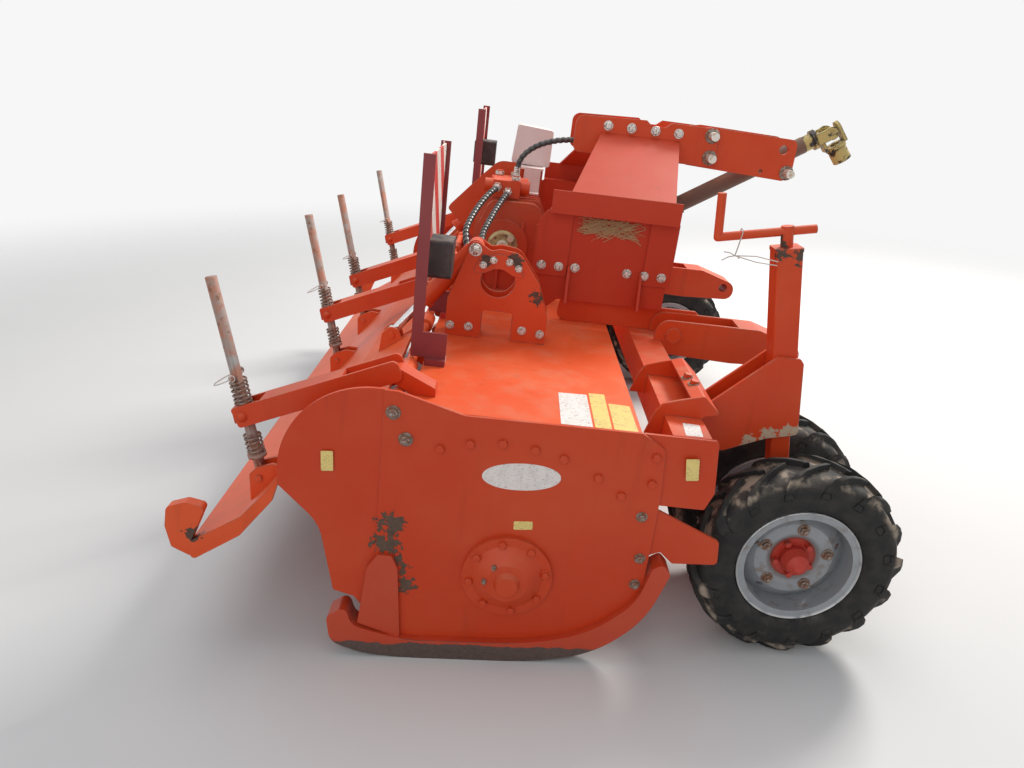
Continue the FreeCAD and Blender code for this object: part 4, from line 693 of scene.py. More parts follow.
class Paintbox:
    """All finishes of the machine, each built once."""

    recipes: dict[str, Finish] = {
        "panel": Paint("orange panel paint"),
        "arch": Paint(
            "arch bracket paint",
            wear=0.9,
            worn=((-60, -706, 712, 54), (-150, -706, 700, 46), (20, -ARCH_Y, 600, 60)),
        ),
        # Darker copy of the orange paint for the end plates and their fittings: painted shade.
        "plate": Paint(
            "end plate paint with painted shade",
            base=(0.57, 0.043, 0.006),
            faded=(0.60, 0.064, 0.014),
            dust=0.4,
            chips=0.25,
            mud=(
                (-318, -1322, 118, 84), (-322, -1322, 52, 92), (-300, -1322, -8, 84), (-268, -1322, -66, 62),
            ),
        ),
        # Lighter copy of the orange paint: painted sunlight on the deck's top.
        "deck": Paint(
            "deck paint with painted light", base=(0.74, 0.074, 0.009), faded=(0.78, 0.115, 0.030), dust=0.36, chips=0.3
        ),
        # Darker copy of the orange paint: painted shade of the headstock's side faces.
        "head": Paint(
            "headstock paint with painted shade", base=(0.50, 0.038, 0.010), faded=(0.53, 0.052, 0.018), dust=0.12, rough=0.46
        ),
        "arms": Paint(
            "hitch paint", wear=0.85, chips=0.45, worn=((612, -LEG_Y, 900, 60), (640, -LEG_Y, 884, 46))
        ),
        "post": Paint(
            "wheel post paint",
            wear=0.8,
            chips=0.35,
            worn=((605, -1076, 884, 56), (660, -1076, 884, 50)),
            scraped=(
                (735, -1086, 392, 62), (690, -1086, 380, 60), (640, -1086, 356, 50), (767, -1086, 404, 40),
            ),
        ),
        # Lighter copy of the orange paint: painted sunlight on the flap's top.
        "flap": Paint(
            "flap paint with painted light",
            base=(0.72, 0.074, 0.010),
            faded=(0.76, 0.108, 0.028),
            dust=0.36,
            wear=0.8,
            chips=0.5,
            # Dark patches by the near end of the flap's toe.
            worn=((-840, -1300, 14, 58), (-800, -1310, 60, 40)),
        ),
        "cast": Paint(
            "cast housing paint", base=(0.56, 0.055, 0.018), faded=(0.50, 0.11, 0.05), rough=0.5, dust=0.8
        ),
        "skid": SkidSteel(),
        "blade": Metal("blade steel", (0.24, 0.20, 0.17), amount=0.9, rough=0.45, grain=30, metallic=0.6),
        "shaft": Paint(
            "rotor paint", base=(0.30, 0.07, 0.03), faded=(0.22, 0.12, 0.07), wear=1.0, chips=1.0, dust=1.0
        ),
        "rod": DrilledRod(),
        "spring": Metal("spring steel", (0.34, 0.26, 0.22), amount=0.5, rough=0.5, grain=9, metallic=0.5),
        "zinc": Metal("zinc plate", (0.66, 0.64, 0.60), amount=0.42, rough=0.34, grain=7),
        "dull": Metal("dull bolts", (0.34, 0.30, 0.27), amount=0.6, rough=0.45, grain=8),
        "pin": Metal(
            "pin steel", (0.80, 0.76, 0.68), (0.36, 0.26, 0.17), 0.4, rough=0.36, grain=14, metallic=0.6
        ),
        "chrome": Metal("chrome rod", (0.82, 0.82, 0.83), amount=0.10, rough=0.10, grain=16, metallic=1.0),
        "cover": CoverMetal(),
        "tube": Paint(
            "shaft tube paint", base=(0.13, 0.075, 0.055), faded=(0.20, 0.12, 0.085), wear=1.0, rough=0.5
        ),
        "yoke": WornYoke(),
        "board": StripedSheet(),
        "black": Plastic("black plastic", (0.022, 0.022, 0.024), film=0.55),
        "box": Plastic("pale box plastic", (0.66, 0.53, 0.50), film=0.25, rough=0.5),
        "hose": Plastic("hose rubber", (0.020, 0.020, 0.021), rough=0.52, film=0.5),
        "wrap": Plastic("spiral wrap", (0.055, 0.053, 0.05), rough=0.26, film=0.25),
        "tyre": TyreRubber(),
        "wheel": WheelPaint(),
        "white": BlankSticker("white sticker", (0.78, 0.76, 0.72)),
        "yellow": BlankSticker("yellow sticker", (0.80, 0.62, 0.20)),
        "oval": BlankSticker("oval plate", (0.80, 0.74, 0.70)),
        "straw": Plastic("dry straw", (0.50, 0.38, 0.20), rough=0.7, film=0.1),
        "twine": Plastic("wire tie", (0.50, 0.46, 0.42), rough=0.35, film=0.2),
    }

    def __init__(self) -> None:
        """Starts with an empty shelf."""
        self.made: dict[str, bpy.types.Material] = {}

    def __getitem__(self, name: str) -> bpy.types.Material:
        """The named finish, built on first use."""
        if name not in self.made:
            self.made[name] = self.recipes[name].material()
        return self.made[name]


PAINTS = Paintbox()


# Shapes


def turned_frame(axis: Vector) -> Matrix:
    """Rotation that takes Z onto an axis."""
    return Vector((0, 0, 1)).rotation_difference(axis.normalized()).to_matrix()


class Form:
    """A mesh in the making, in millimetres of the level drawing."""

    def __init__(self) -> None:
        """Starts empty."""
        self.mesh = bmesh.new()

    def loft(self, rings: Sequence[Sequence[Vector]], loop: bool = False, capped: bool = True) -> None:
        """Skins equal rings of points.

        Args:
            rings: The rings, in order.
            loop: Whether the last ring joins the first.
            capped: Whether open ends are closed.
        """
        rows = [[self.mesh.verts.new(p) for p in ring] for ring in rings]
        for a, b in list(zip(rows, rows[1:])) + ([(rows[-1], rows[0])] if loop else []):
            for i in range(len(a)):
                j = (i + 1) % len(a)
                self.mesh.faces.new((a[i], a[j], b[j], b[i]))
        if capped and not loop:
            self.mesh.faces.new(rows[0][::-1])
            self.mesh.faces.new(rows[-1])

    def lathe(
        self,
        profile: Sequence[tuple[float, float]],
        base: Vector,
        axis: Vector,
        steps: int = 20,
        phase: float = 0.0,
        loop: bool = False,
    ) -> None:
        """Turned body.

        Args:
            profile: Corners as distance along the axis and radius.
            base: Where the distances start.
            axis: Direction of the axis.
            steps: Sides round the axis.
            phase: Turn of the first side, in degrees.
            loop: Whether the profile closes on itself.
        """
        turn = turned_frame(axis)
        rings = [
            [base + turn @ Vector((u, v, along)) for u, v in circle(steps, radius, phase)]
            for along, radius in profile
        ]
        self.loft(rings, loop)

    def bolt(
        self, at: Point, axis: Point, across: float = 19.0, washer: bool = True, stub: float = 0.0
    ) -> None:
        """Hexagon head on its washer.

        Args:
            at: Point of the surface under the head.
            axis: Direction out of the surface.
            across: Width of the head over its corners.
            washer: Whether a washer lies under it.
            stub: Length of thread that stands out of a nut.
        """
        base, way = Vector(at), Vector(axis).normalized()
        spin = (base.x * 7 + base.z * 13) % 60
        low = 0.0
        if washer:
            low = across * 0.13
            r = across * 0.68
            self.lathe(((-0.5, r), (low * 0.7, r), (low, r - 0.8)), base, way, 20)
        r, tall = across / 2, across * 0.42
        self.lathe(((low - 0.3, r), (low + tall * 0.82, r), (low + tall, r * 0.84)), base, way, 6, spin)
        if stub:
            end = low + tall + stub
            self.lathe(((0, r * 0.5), (end - 1, r * 0.5), (end, r * 0.4)), base, way, 14)

    def tube(self, path: Sequence[Vector], radius: float, sides: int = 8, loop: bool = False) -> None:
        """Round bar along points.

        Args:
            path: The points.
            radius: Radius of the bar.
            sides: Sides round the bar.
            loop: Whether the path closes on itself.
        """
        rings = []
        count = len(path)
        side = None
        for i, here in enumerate(path):
            before = path[(i - 1) % count] if loop or i else here
            after = path[(i + 1) % count] if loop or i < count - 1 else here
            way = (after - before).normalized()
            if side is None:
                side = way.cross(Vector((0, 0, 1)) if abs(way.z) < 0.9 else Vector((0, 1, 0)))
            side = (side - way * side.dot(way)).normalized()
            up = way.cross(side)
            rings.append([here + (side * u + up * v) * radius for u, v in circle(sides)])
        self.loft(rings, loop)

    def slab(self, outline: Sequence[Vector], thick: Vector) -> None:
        """Plate from an outline, raised by a vector."""
        self.loft([list(outline), [p + thick for p in outline]])

    def done(
        self,
        name: str,
        finish: str,
        body: Body,
        slot: str | None = None,
        angle: float = 38.0,
        bevel: float = 0.0,
        stands_for: Iterable[str] = (),
    ) -> bpy.types.Object:
        """Makes the object, dresses it and hands it to its body.

        Args:
            name: Name of the piece.
            finish: Its finish in the paintbox.
            body: The body that it rides on.
            slot: The record's material slot; not used.
            angle: Edges sharper than this stay sharp, in degrees.
            bevel: Width of a bevel on its edges, in millimetres.
            stands_for: CAD nodes that it replaces.

        Returns:
            The object.
        """
        bmesh.ops.recalc_face_normals(self.mesh, faces=self.mesh.faces)
        self.mesh.transform(TO_ROW)
        mesh = bpy.data.meshes.new(name)
        self.mesh.to_mesh(mesh)
        self.mesh.free()
        mesh.shade_smooth()
        mesh.set_sharp_from_angle(angle=math.radians(angle))
        piece = bpy.data.objects.new(name, mesh)
        bpy.context.scene.collection.objects.link(piece)
        if bevel:
            edge = piece.modifiers.new("bevel", "BEVEL")
            edge.width, edge.segments, edge.limit_method = bevel / 1000, 2, "ANGLE"
        return hand_over(piece, finish, body, stands_for)


def hand_over(
    piece: bpy.types.Object, finish: str, body: Body, stands_for: Iterable[str] = ()
) -> bpy.types.Object:
    """Gives a piece its finish and body, and hides the nodes that it stands for.

    Args:
        piece: The piece.
        finish: Its finish in the paintbox.
        body: The body that it rides on.
        stands_for: CAD nodes that it replaces.

    Returns:
        The piece.
    """
    piece.data.materials.clear()
    piece.data.materials.append(PAINTS[finish])
    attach(piece, body.value)
    if stands_for:
        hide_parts(*stands_for)
    log.info("%s: %d faces", piece.name, len(piece.data.polygons) if piece.type == "MESH" else 0)
    return piece


def mirrored(points: Iterable[Point]) -> list[Point]:
    """The points and their mirror images across the middle of the machine."""
    listed = list(points)
    return listed + [(x, -y, z) for x, y, z in listed]


def coil(
    start: Vector, axis: Vector, length: float, radius: float, turns: float, steps: int = 22
) -> list[Vector]:
    """Points of a spring's wire, its end turns closed up.

    Args:
        start: Where its middle line begins.
        axis: Direction of the spring.
        length: Length between the middles of its first and last wire.
        radius: Radius of the wire's middle line.
        turns: How often it goes round.
        steps: Points of one turn.

    Returns:
        The points.
    """
    turn = turned_frame(axis)
    points = []
    count = int(turns * steps)
    for i in range(count + 1):
        s = i / count
        along = (s - 0.035 * math.sin(2 * math.pi * s)) * length
        a = 2 * math.pi * turns * s
        points.append(start + turn @ Vector((radius * math.cos(a), radius * math.sin(a), along)))
    return points


# Sub-assemblies


@dataclass(frozen=True)
class CadDress:
    """Finishes of the carried-over CAD pieces."""

    finishes: dict[str, str] = field(
        default_factory=lambda: {
            "arch_brackets": "arch",
            "base_plates": "panel",
            "bearing_cap": "plate",
            "cardan_joints": "yoke",
            "cardan_tube": "tube",
            "control_box": "box",
            "control_valve": "panel",
            "cranks": "arms",
            "cross_shaft_tube": "panel",
            "cylinder_barrels": "panel",
            "cylinder_rods": "chrome",
            "deck": "deck",
            "end_plate_left": "plate",
            "end_plate_right": "plate",
            "flap_arms": "panel",
            "flap_fittings": "flap",
            "flap_sheet": "flap",
            "front_beam": "panel",
            "gearbox": "cast",
            "gearbox_cover": "cover",
            "headstock_sides": "head",
            "hitch_pins": "pin",
            "inner_leg_left": "panel",
            "inner_leg_right": "panel",
            "lamps": "black",
            "leg_sleeves": "post",
            "lower_arms": "arms",
            "marker_boards": "board",
            "rotor_blades": "blade",
            "rotor_hood": "panel",
            "rotor_shaft": "shaft",
            "side_gear_case": "panel",
            "skids": "skid",
            "top_link_arms": "arms",
            "top_plates": "arms",
            "wheel_clamps": "arms",
            "wheel_rims_left": "wheel",
            "wheel_rims_right": "wheel",
        }
    )

    def build(self) -> None:
        """Dresses every node."""
        for name, finish in self.finishes.items():
            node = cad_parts[name]
            node.data.materials.clear()
            node.data.materials.append(PAINTS[finish])


@dataclass(frozen=True)
class Fasteners:
    """Bolts, nuts and washers where the photograph shows them.

    Attributes:
        ring: Heads near the edge of the end plates, x and z.
        hub: Radius of the heads round the near rotor bearing.
        front: Nuts along the front of the end plates, x and z.
        rear: Nuts along their rear, x and z.
        head_row: Heads low on the headstock, x.
        top_row: Heads high on the headstock, x.
        arch_feet: Heads at the feet of the arch brackets, x and z.
        blanking: Heads of the near bracket's blanking plate, x and z.
    """

    ring: Places = (
        (-206, 351), (-132, 373), (-51, 383), (31, 375), (105, 359),
        (198, 316), (263, 272), (334, 389), (335, 315),
    )
    hub: float = 102.0
    front: Places = ((326, 217), (342, 93), (342, 11))
    rear: Places = ((-293, 367), (-328, 436))
    head_row: tuple[float, ...] = (31, 91, 148, 329, 388, 448)
    top_row: tuple[float, ...] = (224, 309, 396, 481)
    arch_feet: Places = ((-247, 480), (-188, 481), (-18, 486), (40, 480))
    blanking: Places = ((-129, 703), (-160, 684), (-80, 701), (-50, 684))

    def build(self) -> None:
        """Builds each group as one joined mesh."""
        self.plate_bolts()
        self.edge_bolts()
        self.frame_bolts()
        self.cover_bolts()

    def plate_bolts(self) -> None:
        """Painted heads of the end plates, none where the side gear case covers them."""
        form = Form()
        for x, z in self.ring:
            form.bolt((x, -PLATE_Y, z), (0, -1, 0), 24, washer=False)
            covered = -290 < x < 120 and z > 300
            if not covered:
                form.bolt((x, PLATE_Y, z), (0, 1, 0), 24, washer=False)
        for i, (x, z) in enumerate(circle(8, self.hub, 12)):
            form.bolt((x, -PLATE_Y - 14, z), (0, -1, 0), 21, washer=i % 3 == 0)
        form.done("end_plate_bolts", "plate", Body.FRAME, "orange_paint")

    def edge_bolts(self) -> None:
        """Rusty nuts along the front and the rear of the end plates."""
        form = Form()
        for way in (-1, 1):
            for x, z in self.front:
                form.bolt((x, way * PLATE_Y, z), (0, way, 0), 22, stub=4)
            for x, z in self.rear:
                form.bolt((x, way * PLATE_Y, z), (0, way, 0), 28, stub=8)
        form.done("plate_edge_bolts", "dull", Body.FRAME, "pin_steel")

    def frame_bolts(self) -> None:
        """Bright heads of the headstock and the arch brackets."""
        form = Form()
        for x in self.head_row:
            lap = 8 if x < 119 or x > 384 else 0
            for sign in (-1, 1):
                form.bolt((x, sign * (HEAD_Y + lap), 645), (0, sign, 0), 24)
        for x in self.top_row:
            for sign in (-1, 1):
                form.bolt((x, sign * 112, 1107), (0, sign, 0), 26)
        for x, z in self.arch_feet:
            for sign in (-1, 1):
                form.bolt((x, sign * ARCH_Y, z), (0, sign, 0), 21)
        for sign in (-1, 1):
            form.bolt((-188, sign * ARCH_Y, 728), (0, sign, 0), 30, stub=6)
        for x, z in self.blanking:
            form.bolt((x, -ARCH_Y - 5, z), (0, -1, 0), 17)
        form.done("frame_bolts", "zinc", Body.FRAME, "pin_steel")

    def cover_bolts(self) -> None:
        """Small heads round the gearbox's cover."""
        form = Form()
        for x, z in circle(6, 40, 17):
            form.bolt((CROSS_X + x, -152, CROSS_Z + z), (0, -1, 0), 12, washer=False)
        form.done("cover_bolts", "dull", Body.FRAME, "pin_steel")


@dataclass(frozen=True)
class SpringSet:
    """Coil springs, linch pins and wire loops of the flap rods.

    Attributes:
        eye: Middle of a rod's lower eye.
        tip: Upper end of the rod.
        rows: Where across the machine the rods are.
        outer_r: Outer radius of the plain sleeves.
        coil_r: Radius of the wire's middle line.
        wire: Radius of the wire.
        upper: Start of the upper spring on the rod, its length and its turns.
        lower: The same of the lower spring.
        linch: Where on the rod the linch pin is.
    """

    eye: Vector = field(default_factory=lambda: Vector((-688.0, 0.0, 160.0)))
    tip: Vector = field(default_factory=lambda: Vector((-811.0, 0.0, 692.0)))
    rows: tuple[float, ...] = (-1198.0, -262.0, 262.0, 1198.0)
    outer_r: float = 25.0
    coil_r: float = 21.0
    wire: float = 3.0
    upper: tuple[float, float, float] = (202.5, 76.0, 6.5)
    lower: tuple[float, float, float] = (62.0, 62.0, 5.0)
    linch: float = 288.0

    def build(self) -> None:
        """Builds the springs, and the rods and blocks without their plain sleeves."""
        axis = (self.tip - self.eye).normalized()
        upper, lower, loops = Form(), Form(), Form()
        for y in self.rows:
            foot = self.eye + Vector((0, y, 0))
            for form, (start, length, turns) in ((upper, self.upper), (lower, self.lower)):
                first = foot + axis * (start + self.wire)
                form.tube(coil(first, axis, length - 2 * self.wire, self.coil_r, turns), self.wire)
            self.wire_loop(loops, foot + axis * self.linch)
        upper.done("upper_springs", "spring", Body.TRUNNIONS, "rod_steel")
        lower.done("lower_springs", "spring", Body.SPRING_RODS, "rod_steel")
        loops.done("linch_pin_loops", "twine", Body.SPRING_RODS, "pin_steel")
        self.without_sleeves("spring_rods", "drilled_rods", Body.SPRING_RODS, "rod", axis)
        self.without_sleeves("trunnions", "trunnion_blocks", Body.TRUNNIONS, "arms", axis)

    def wire_loop(self, form: Form, at: Vector) -> None:
        """Bow of a linch pin with its two eyes, swung a little differently on each rod."""
        reach = 34 + 10 * math.sin(at.y)
        bow = []
        for k in range(25):
            a = math.pi * k / 24
            out = Vector((-math.sin(a) * (reach + 14), -math.cos(a) * 39, -math.sin(a) * reach * 0.8))
            bow.append(at + out)
        form.tube(bow, 1.7, 6)
        for sign in (-1, 1):
            eye = at + Vector((0, sign * 34, 0))
            form.tube([eye + Vector((u, 0, v)) for u, v in circle(16, 8)], 1.6, 6, loop=True)

    def without_sleeves(self, node: str, name: str, body: Body, finish: str, axis: Vector) -> None:
        """Copy of a node that leaves out the plain sleeves that stand for springs.

        Args:
            node: The CAD node.
            name: Name of the copy.
            body: The body that it rides on.
            finish: Its finish.
            axis: Direction of the rods in the level drawing.
        """
        mesh = bmesh.new()
        mesh.from_mesh(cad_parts[node].data)
        bmesh.ops.remove_doubles(mesh, verts=mesh.verts, dist=1e-6)
        mesh.transform(FROM_ROW)
        left = set(mesh.verts)
        drop: list[bmesh.types.BMVert] = []
        while left:
            island, queue = [], [left.pop()]
            while queue:
                vert = queue.pop()
                island.append(vert)
                for edge in vert.link_edges:
                    other = edge.other_vert(vert)
                    if other in left:
                        left.remove(other)
                        queue.append(other)
            radii = []
            for vert in island:
                away = vert.co - self.eye
                away.y = 0
                across = away - axis * away.dot(axis)
                y = min(self.rows, key=lambda row: abs(vert.co.y - row))
                radii.append(math.hypot(across.length, vert.co.y - y))
            if min(radii) > self.outer_r - 9 and max(radii) < self.outer_r + 1:
                drop += island
        bmesh.ops.delete(mesh, geom=drop, context="VERTS")
        form = Form()
        form.mesh.free()
        form.mesh = mesh
        form.done(name, finish, body, "rod_steel", stands_for=(node,))


@dataclass(frozen=True)
class TwinTyres:
    """Narrow traction tyres with slanted lugs, two on each side.

    Attributes:
        radius: Radius between the lugs.
        lug: Height of a lug.
        width: Width of the carcass.
        pairs: Lugs of each shoulder.
        section: The carcass from its middle outward, as share of half the width and depth below the radius.
    """

    radius: float = 276.0
    lug: float = 14.0
    width: float = 156.0
    pairs: int = 15
    section: Places = (
        (0, 3), (0.35, 4), (0.66, 8), (0.86, 17), (0.96, 32), (0.985, 50), (0.99, 62), (0.975, 70),
        (0.985, 73), (0.96, 84), (0.90, 95), (0.87, 97), (0.80, 103), (0.71, 106), (0.70, 121),
    )

    def profile(self) -> list[tuple[float, float]]:
        """Section of the carcass as distance across and radius."""
        side = [(self.width / 2 * share, self.radius - depth) for share, depth in self.section]
        return [(-a, b) for a, b in side[:0:-1]] + side

    def build(self) -> None:
        """Builds the four tyres, joined by side."""
        for sign, body, node in ((-1, Body.WHEELS_RIGHT, "tyres_right"), (1, Body.WHEELS_LEFT, "tyres_left")):
            form = Form()
            for way in (-1, 1):
                centre = Vector((WHEEL_X, sign * LEG_Y + way * TYRE_OFFSET, WHEEL_Z))
                form.lathe(self.profile(), centre, Vector((0, 1, 0)), 96, loop=True)
                for side, stagger in ((-1, 0.0), (1, 0.5)):
                    for i in range(self.pairs):
                        self.add_lug(form, centre, side * way, 360 / self.pairs * (i + stagger))
            form.done(f"{node}_rubber", "tyre", body, "tyre_rubber", 45, stands_for=(node,))

    def add_lug(self, form: Form, centre: Vector, side: int, angle: float) -> None:
        """One lug that runs from the middle of the tread over the shoulder.

        Args:
            form: The mesh that takes it.
            centre: Middle of the tyre.
            side: Which shoulder it runs to.
            angle: Its place round the tyre, in degrees.
        """
        r, h, crest = self.radius, self.width / 2, self.radius + self.lug
        # Distance across, lead in degrees, outer radius and half width
        stations = (
            (-5.0, 0.0, crest - 1.5, 9.0),
            (0.0, 0.5, crest, 10.0),
            (h * 0.30, 8.0, crest, 10.5),
            (h * 0.62, 16.5, crest - 3, 11.5),
            (h * 0.86, 22.5, r + 2, 12.5),
            (h * 0.985, 25.5, r - 15, 13.5),
            (h * 1.01, 27.0, r - 34, 13.5),
            (h * 0.86, 28.0, r - 46, 11.0),
        )
        rings = []
        for y, lead, top, half in stations:
            flank = ((min(top - 18, r - 12), 1.25), (top - 6, 0.98), (top, 0.78))
            ring = []
            for out, share in [(out, -share) for out, share in flank] + list(flank[::-1]):
                a = math.radians(angle + lead) + half * share / r
                ring.append(centre + Vector((out * math.cos(a), side * y, out * math.sin(a))))
            rings.append(ring)
        form.loft(rings)


@dataclass(frozen=True)
class HoseRun:
    """One hose.

    Attributes:
        node: The CAD node that it replaces.
        route: Its way in the level drawing.
        radius: Its radius.
    """

    node: str
    route: tuple[Point, ...]
    radius: float = 9.0


class Hoses:
    """Hydraulic hoses with spiral wraps and crimped ends.

    Attributes:
        runs: The hoses.
        bare: Length without a wrap at each end.
        pitch: Length of one turn of the wrap.
        crimp: Section of a crimped sleeve.
    """

    bare: float = 34.0
    pitch: float = 21.0
    crimp: Places = (
        (9, 10.5), (11, 11.6), (16, 11.6), (17, 11), (18, 11.6), (23, 11.6), (24, 11), (25, 11.6),
        (31, 11.4), (32, 10),
    )
    runs: tuple[HoseRun, ...] = (
        HoseRun(
            "hose_rear",
            (
                (-152, -114, 846.3), (-152, -144, 846.3), (-172, -196, 838), (-204, -284, 802),
                (-226, -380, 768), (-238, -462, 736), (-224, -522, 700), (-203, -556, 672),
                (-203, -591, 672),
            ),
        ),
        HoseRun(
            "hose_middle",
            (
                (-112, -114, 832.3), (-112, -142, 832.3), (-124, -192, 820), (-146, -284, 790),
                (-166, -380, 756), (-180, -456, 732), (-176, -516, 708), (-166, -554, 694),
                (-166, -591, 694),
            ),
        ),
        HoseRun(
            "hose_front",
            (
                (-86, -70, 890.3), (-86, -70, 924.3), (-70, -68, 968.3), (-20, -61, 1008.3),
                (50, -51, 1032.3), (118, -43, 1041), (160, -40, 1040), (208, -40, 1040),
            ),
        ),
    )

    def build(self) -> None:
        """Builds each hose, its wrap and its crimps."""
        for run in self.runs:
            points = [TO_ROW @ Vector(p) for p in run.route]
            curve = bpy.data.curves.new(run.node + "_run", "CURVE")
            curve.dimensions = "3D"
            spline = curve.splines.new("NURBS")
            spline.points.add(len(points) - 1)
            for made, point in zip(spline.points, points):
                made.co = (*point, 1.0)
            spline.order_u = 3
            spline.use_endpoint_u = True
            spline.resolution_u = 12
            hose = bpy.data.objects.new(run.node + "_run", curve)
            bpy.context.scene.collection.objects.link(hose)
            bpy.context.view_layer.update()
            line = [v.co.copy() for v in bpy.data.meshes.new_from_object(hose).vertices]
            curve.bevel_depth = run.radius / 1000
            curve.bevel_resolution = 5
            hand_over(hose, "hose", Body.FRAME, (run.node,))
            length = sum((b - a).length for a, b in zip(line, line[1:]))
            wrap = self.wrap(run, line)
            ends = self.crimps(run, line)
            points[0]

    def wrap(self, run: HoseRun, line: Sequence[Vector]) -> bpy.types.Object:
        """Flat strip wound round the hose.

        Args:
            run: The hose.
            line: Points of its middle line.

        Returns:
            The wrap.
        """
        form = Form()
        points = [FROM_ROW @ p for p in line]
        lengths = [0.0]
        for a, b in zip(points, points[1:]):
            lengths.append(lengths[-1] + (b - a).length)
        total = lengths[-1]
        side = Vector((1, 0.2, 0))
        rings = []
        seat = 0
        count = int(total / 1.5)
        for i in range(count):
            s = self.bare + (total - 2 * self.bare) * i / (count - 1)
            while seat < len(lengths) - 2 and lengths[seat + 1] < s:
                seat += 1
            share = (s - lengths[seat]) / max(1e-6, lengths[seat + 1] - lengths[seat])
            at = points[seat].lerp(points[seat + 1], share)
            way = (points[min(seat + 2, len(points) - 1)] - points[max(seat - 1, 0)]).normalized()
            side = (side - way * side.dot(way)).normalized()
            up = way.cross(side)
            a = 2 * math.pi * s / self.pitch
            ring = []
            for along, out in ((-5.5, 8.8), (-5.5, 10.8), (5.5, 10.8), (5.5, 8.8)):
                b = a + along * 0.02
                ring.append(at + (side * math.cos(b) + up * math.sin(b)) * out + way * along)
            rings.append(ring)
        form.loft(rings)
        return form.done(run.node + "_wrap", "wrap", Body.FRAME, "hose_rubber", 30)

    def crimps(self, run: HoseRun, line: Sequence[Vector]) -> bpy.types.Object:
        """Crimped sleeves and nuts at both ends.

        Args:
            run: The hose.
            line: Points of its middle line.

        Returns:
            Both ends, joined.
        """
        form = Form()
        for end, inner in ((line[0], line[3]), (line[-1], line[-4])):
            start = FROM_ROW @ end
            way = (FROM_ROW @ inner - start).normalized()
            form.lathe(((-1, 12.5), (9, 12.5), (10, 11)), start, way, 6)
            form.lathe(self.crimp, start, way, 18)
        return form.done(run.node + "_crimps", "zinc", Body.FRAME, "pin_steel")


@dataclass(frozen=True)
class Labels:
    """Blank stickers and the blank oval plate, laid on their sheets.

    Attributes:
        oval_at: Middle of the oval plate, x and z.
        on_plate: Stickers of the near end plate, with the x and z of their corners.
        on_deck: Stickers of the deck, with their finish and their corners' x and distance in from the plate.
    """

    oval_at: tuple[float, float] = (5.0, 296.0)
    on_plate: tuple[tuple[str, Places], ...] = (
        ("sticker_rear", ((-503, 310), (-472, 313), (-470, 257), (-501, 254))),
        ("sticker_middle", ((0, 165), (49, 170), (51, 146), (2, 140))),
        ("sticker_front", ((408, 394), (441, 398), (450, 338), (418, 334))),
    )
    on_deck: tuple[tuple[str, str, Places], ...] = (
        ("sticker_deck_white", "white", ((88, 222), (166, 226), (166, 14), (86, 14))),
        ("sticker_deck_middle", "yellow", ((172, 240), (216, 242), (214, 14), (172, 14))),
        ("sticker_deck_front", "yellow", ((221, 180), (278, 176), (280, 14), (220, 14))),
        ("sticker_beam", "white", ((408, 104), (452, 98), (446, 26), (402, 26))),
    )

    def build(self) -> None:
        """Lays every label."""
        self.oval()
        for name, corners in self.on_plate:
            self.patch(name, "yellow", [(x, -PLATE_Y, z) for x, z in corners], (0, -1, 0))
        for name, finish, corners in self.on_deck:
            self.patch(name, finish, [(x, inset - PLATE_Y, DECK_Z) for x, inset in corners], (0, 0, 1))

    def oval(self) -> None:
        """Oval plate with a raised middle, level while the machine is parked."""
        lean = Matrix.Rotation(-PARK_PITCH, 3, "Y")
        rim = []
        for u, v in circle(48):
            rim.append(lean @ Vector((100 * math.copysign(abs(u) ** 0.92, u), 0, 38 * v)))
        x, z = self.oval_at
        form = Form()
        for lift, share, thick in ((0.05, 1.0, 1.6), (1.6, 0.93, 0.8)):
            middle = Vector((x, -PLATE_Y - lift, z))
            form.slab([middle + p * share for p in rim], Vector((0, -thick, 0)))
        form.done("oval_plate_blank", "oval", Body.FRAME)

    def patch(
        self, name: str, finish: str, corners: Sequence[Point], normal: Point, round_off: float = 3.0
    ) -> None:
        """Thin sticker with rounded corners.

        Args:
            name: Name of the piece.
            finish: Its finish.
            corners: Its four corners.
            normal: Direction out of the sheet.
            round_off: Radius of the corners.
        """
        form = Form()
        points = [Vector(c) for c in corners]
        outline = []
        for i, p in enumerate(points):
            a, b = points[i - 1], points[(i + 1) % 4]
            outline.append(p + (a - p).normalized() * round_off)
            outline.append(p + ((a + b) / 2 - p).normalized() * round_off * 0.45)
            outline.append(p + (b - p).normalized() * round_off)
        out = Vector(normal).normalized()
        form.slab([p + out * 0.05 for p in outline], out * 0.7)
        form.done(name, finish, Body.FRAME)


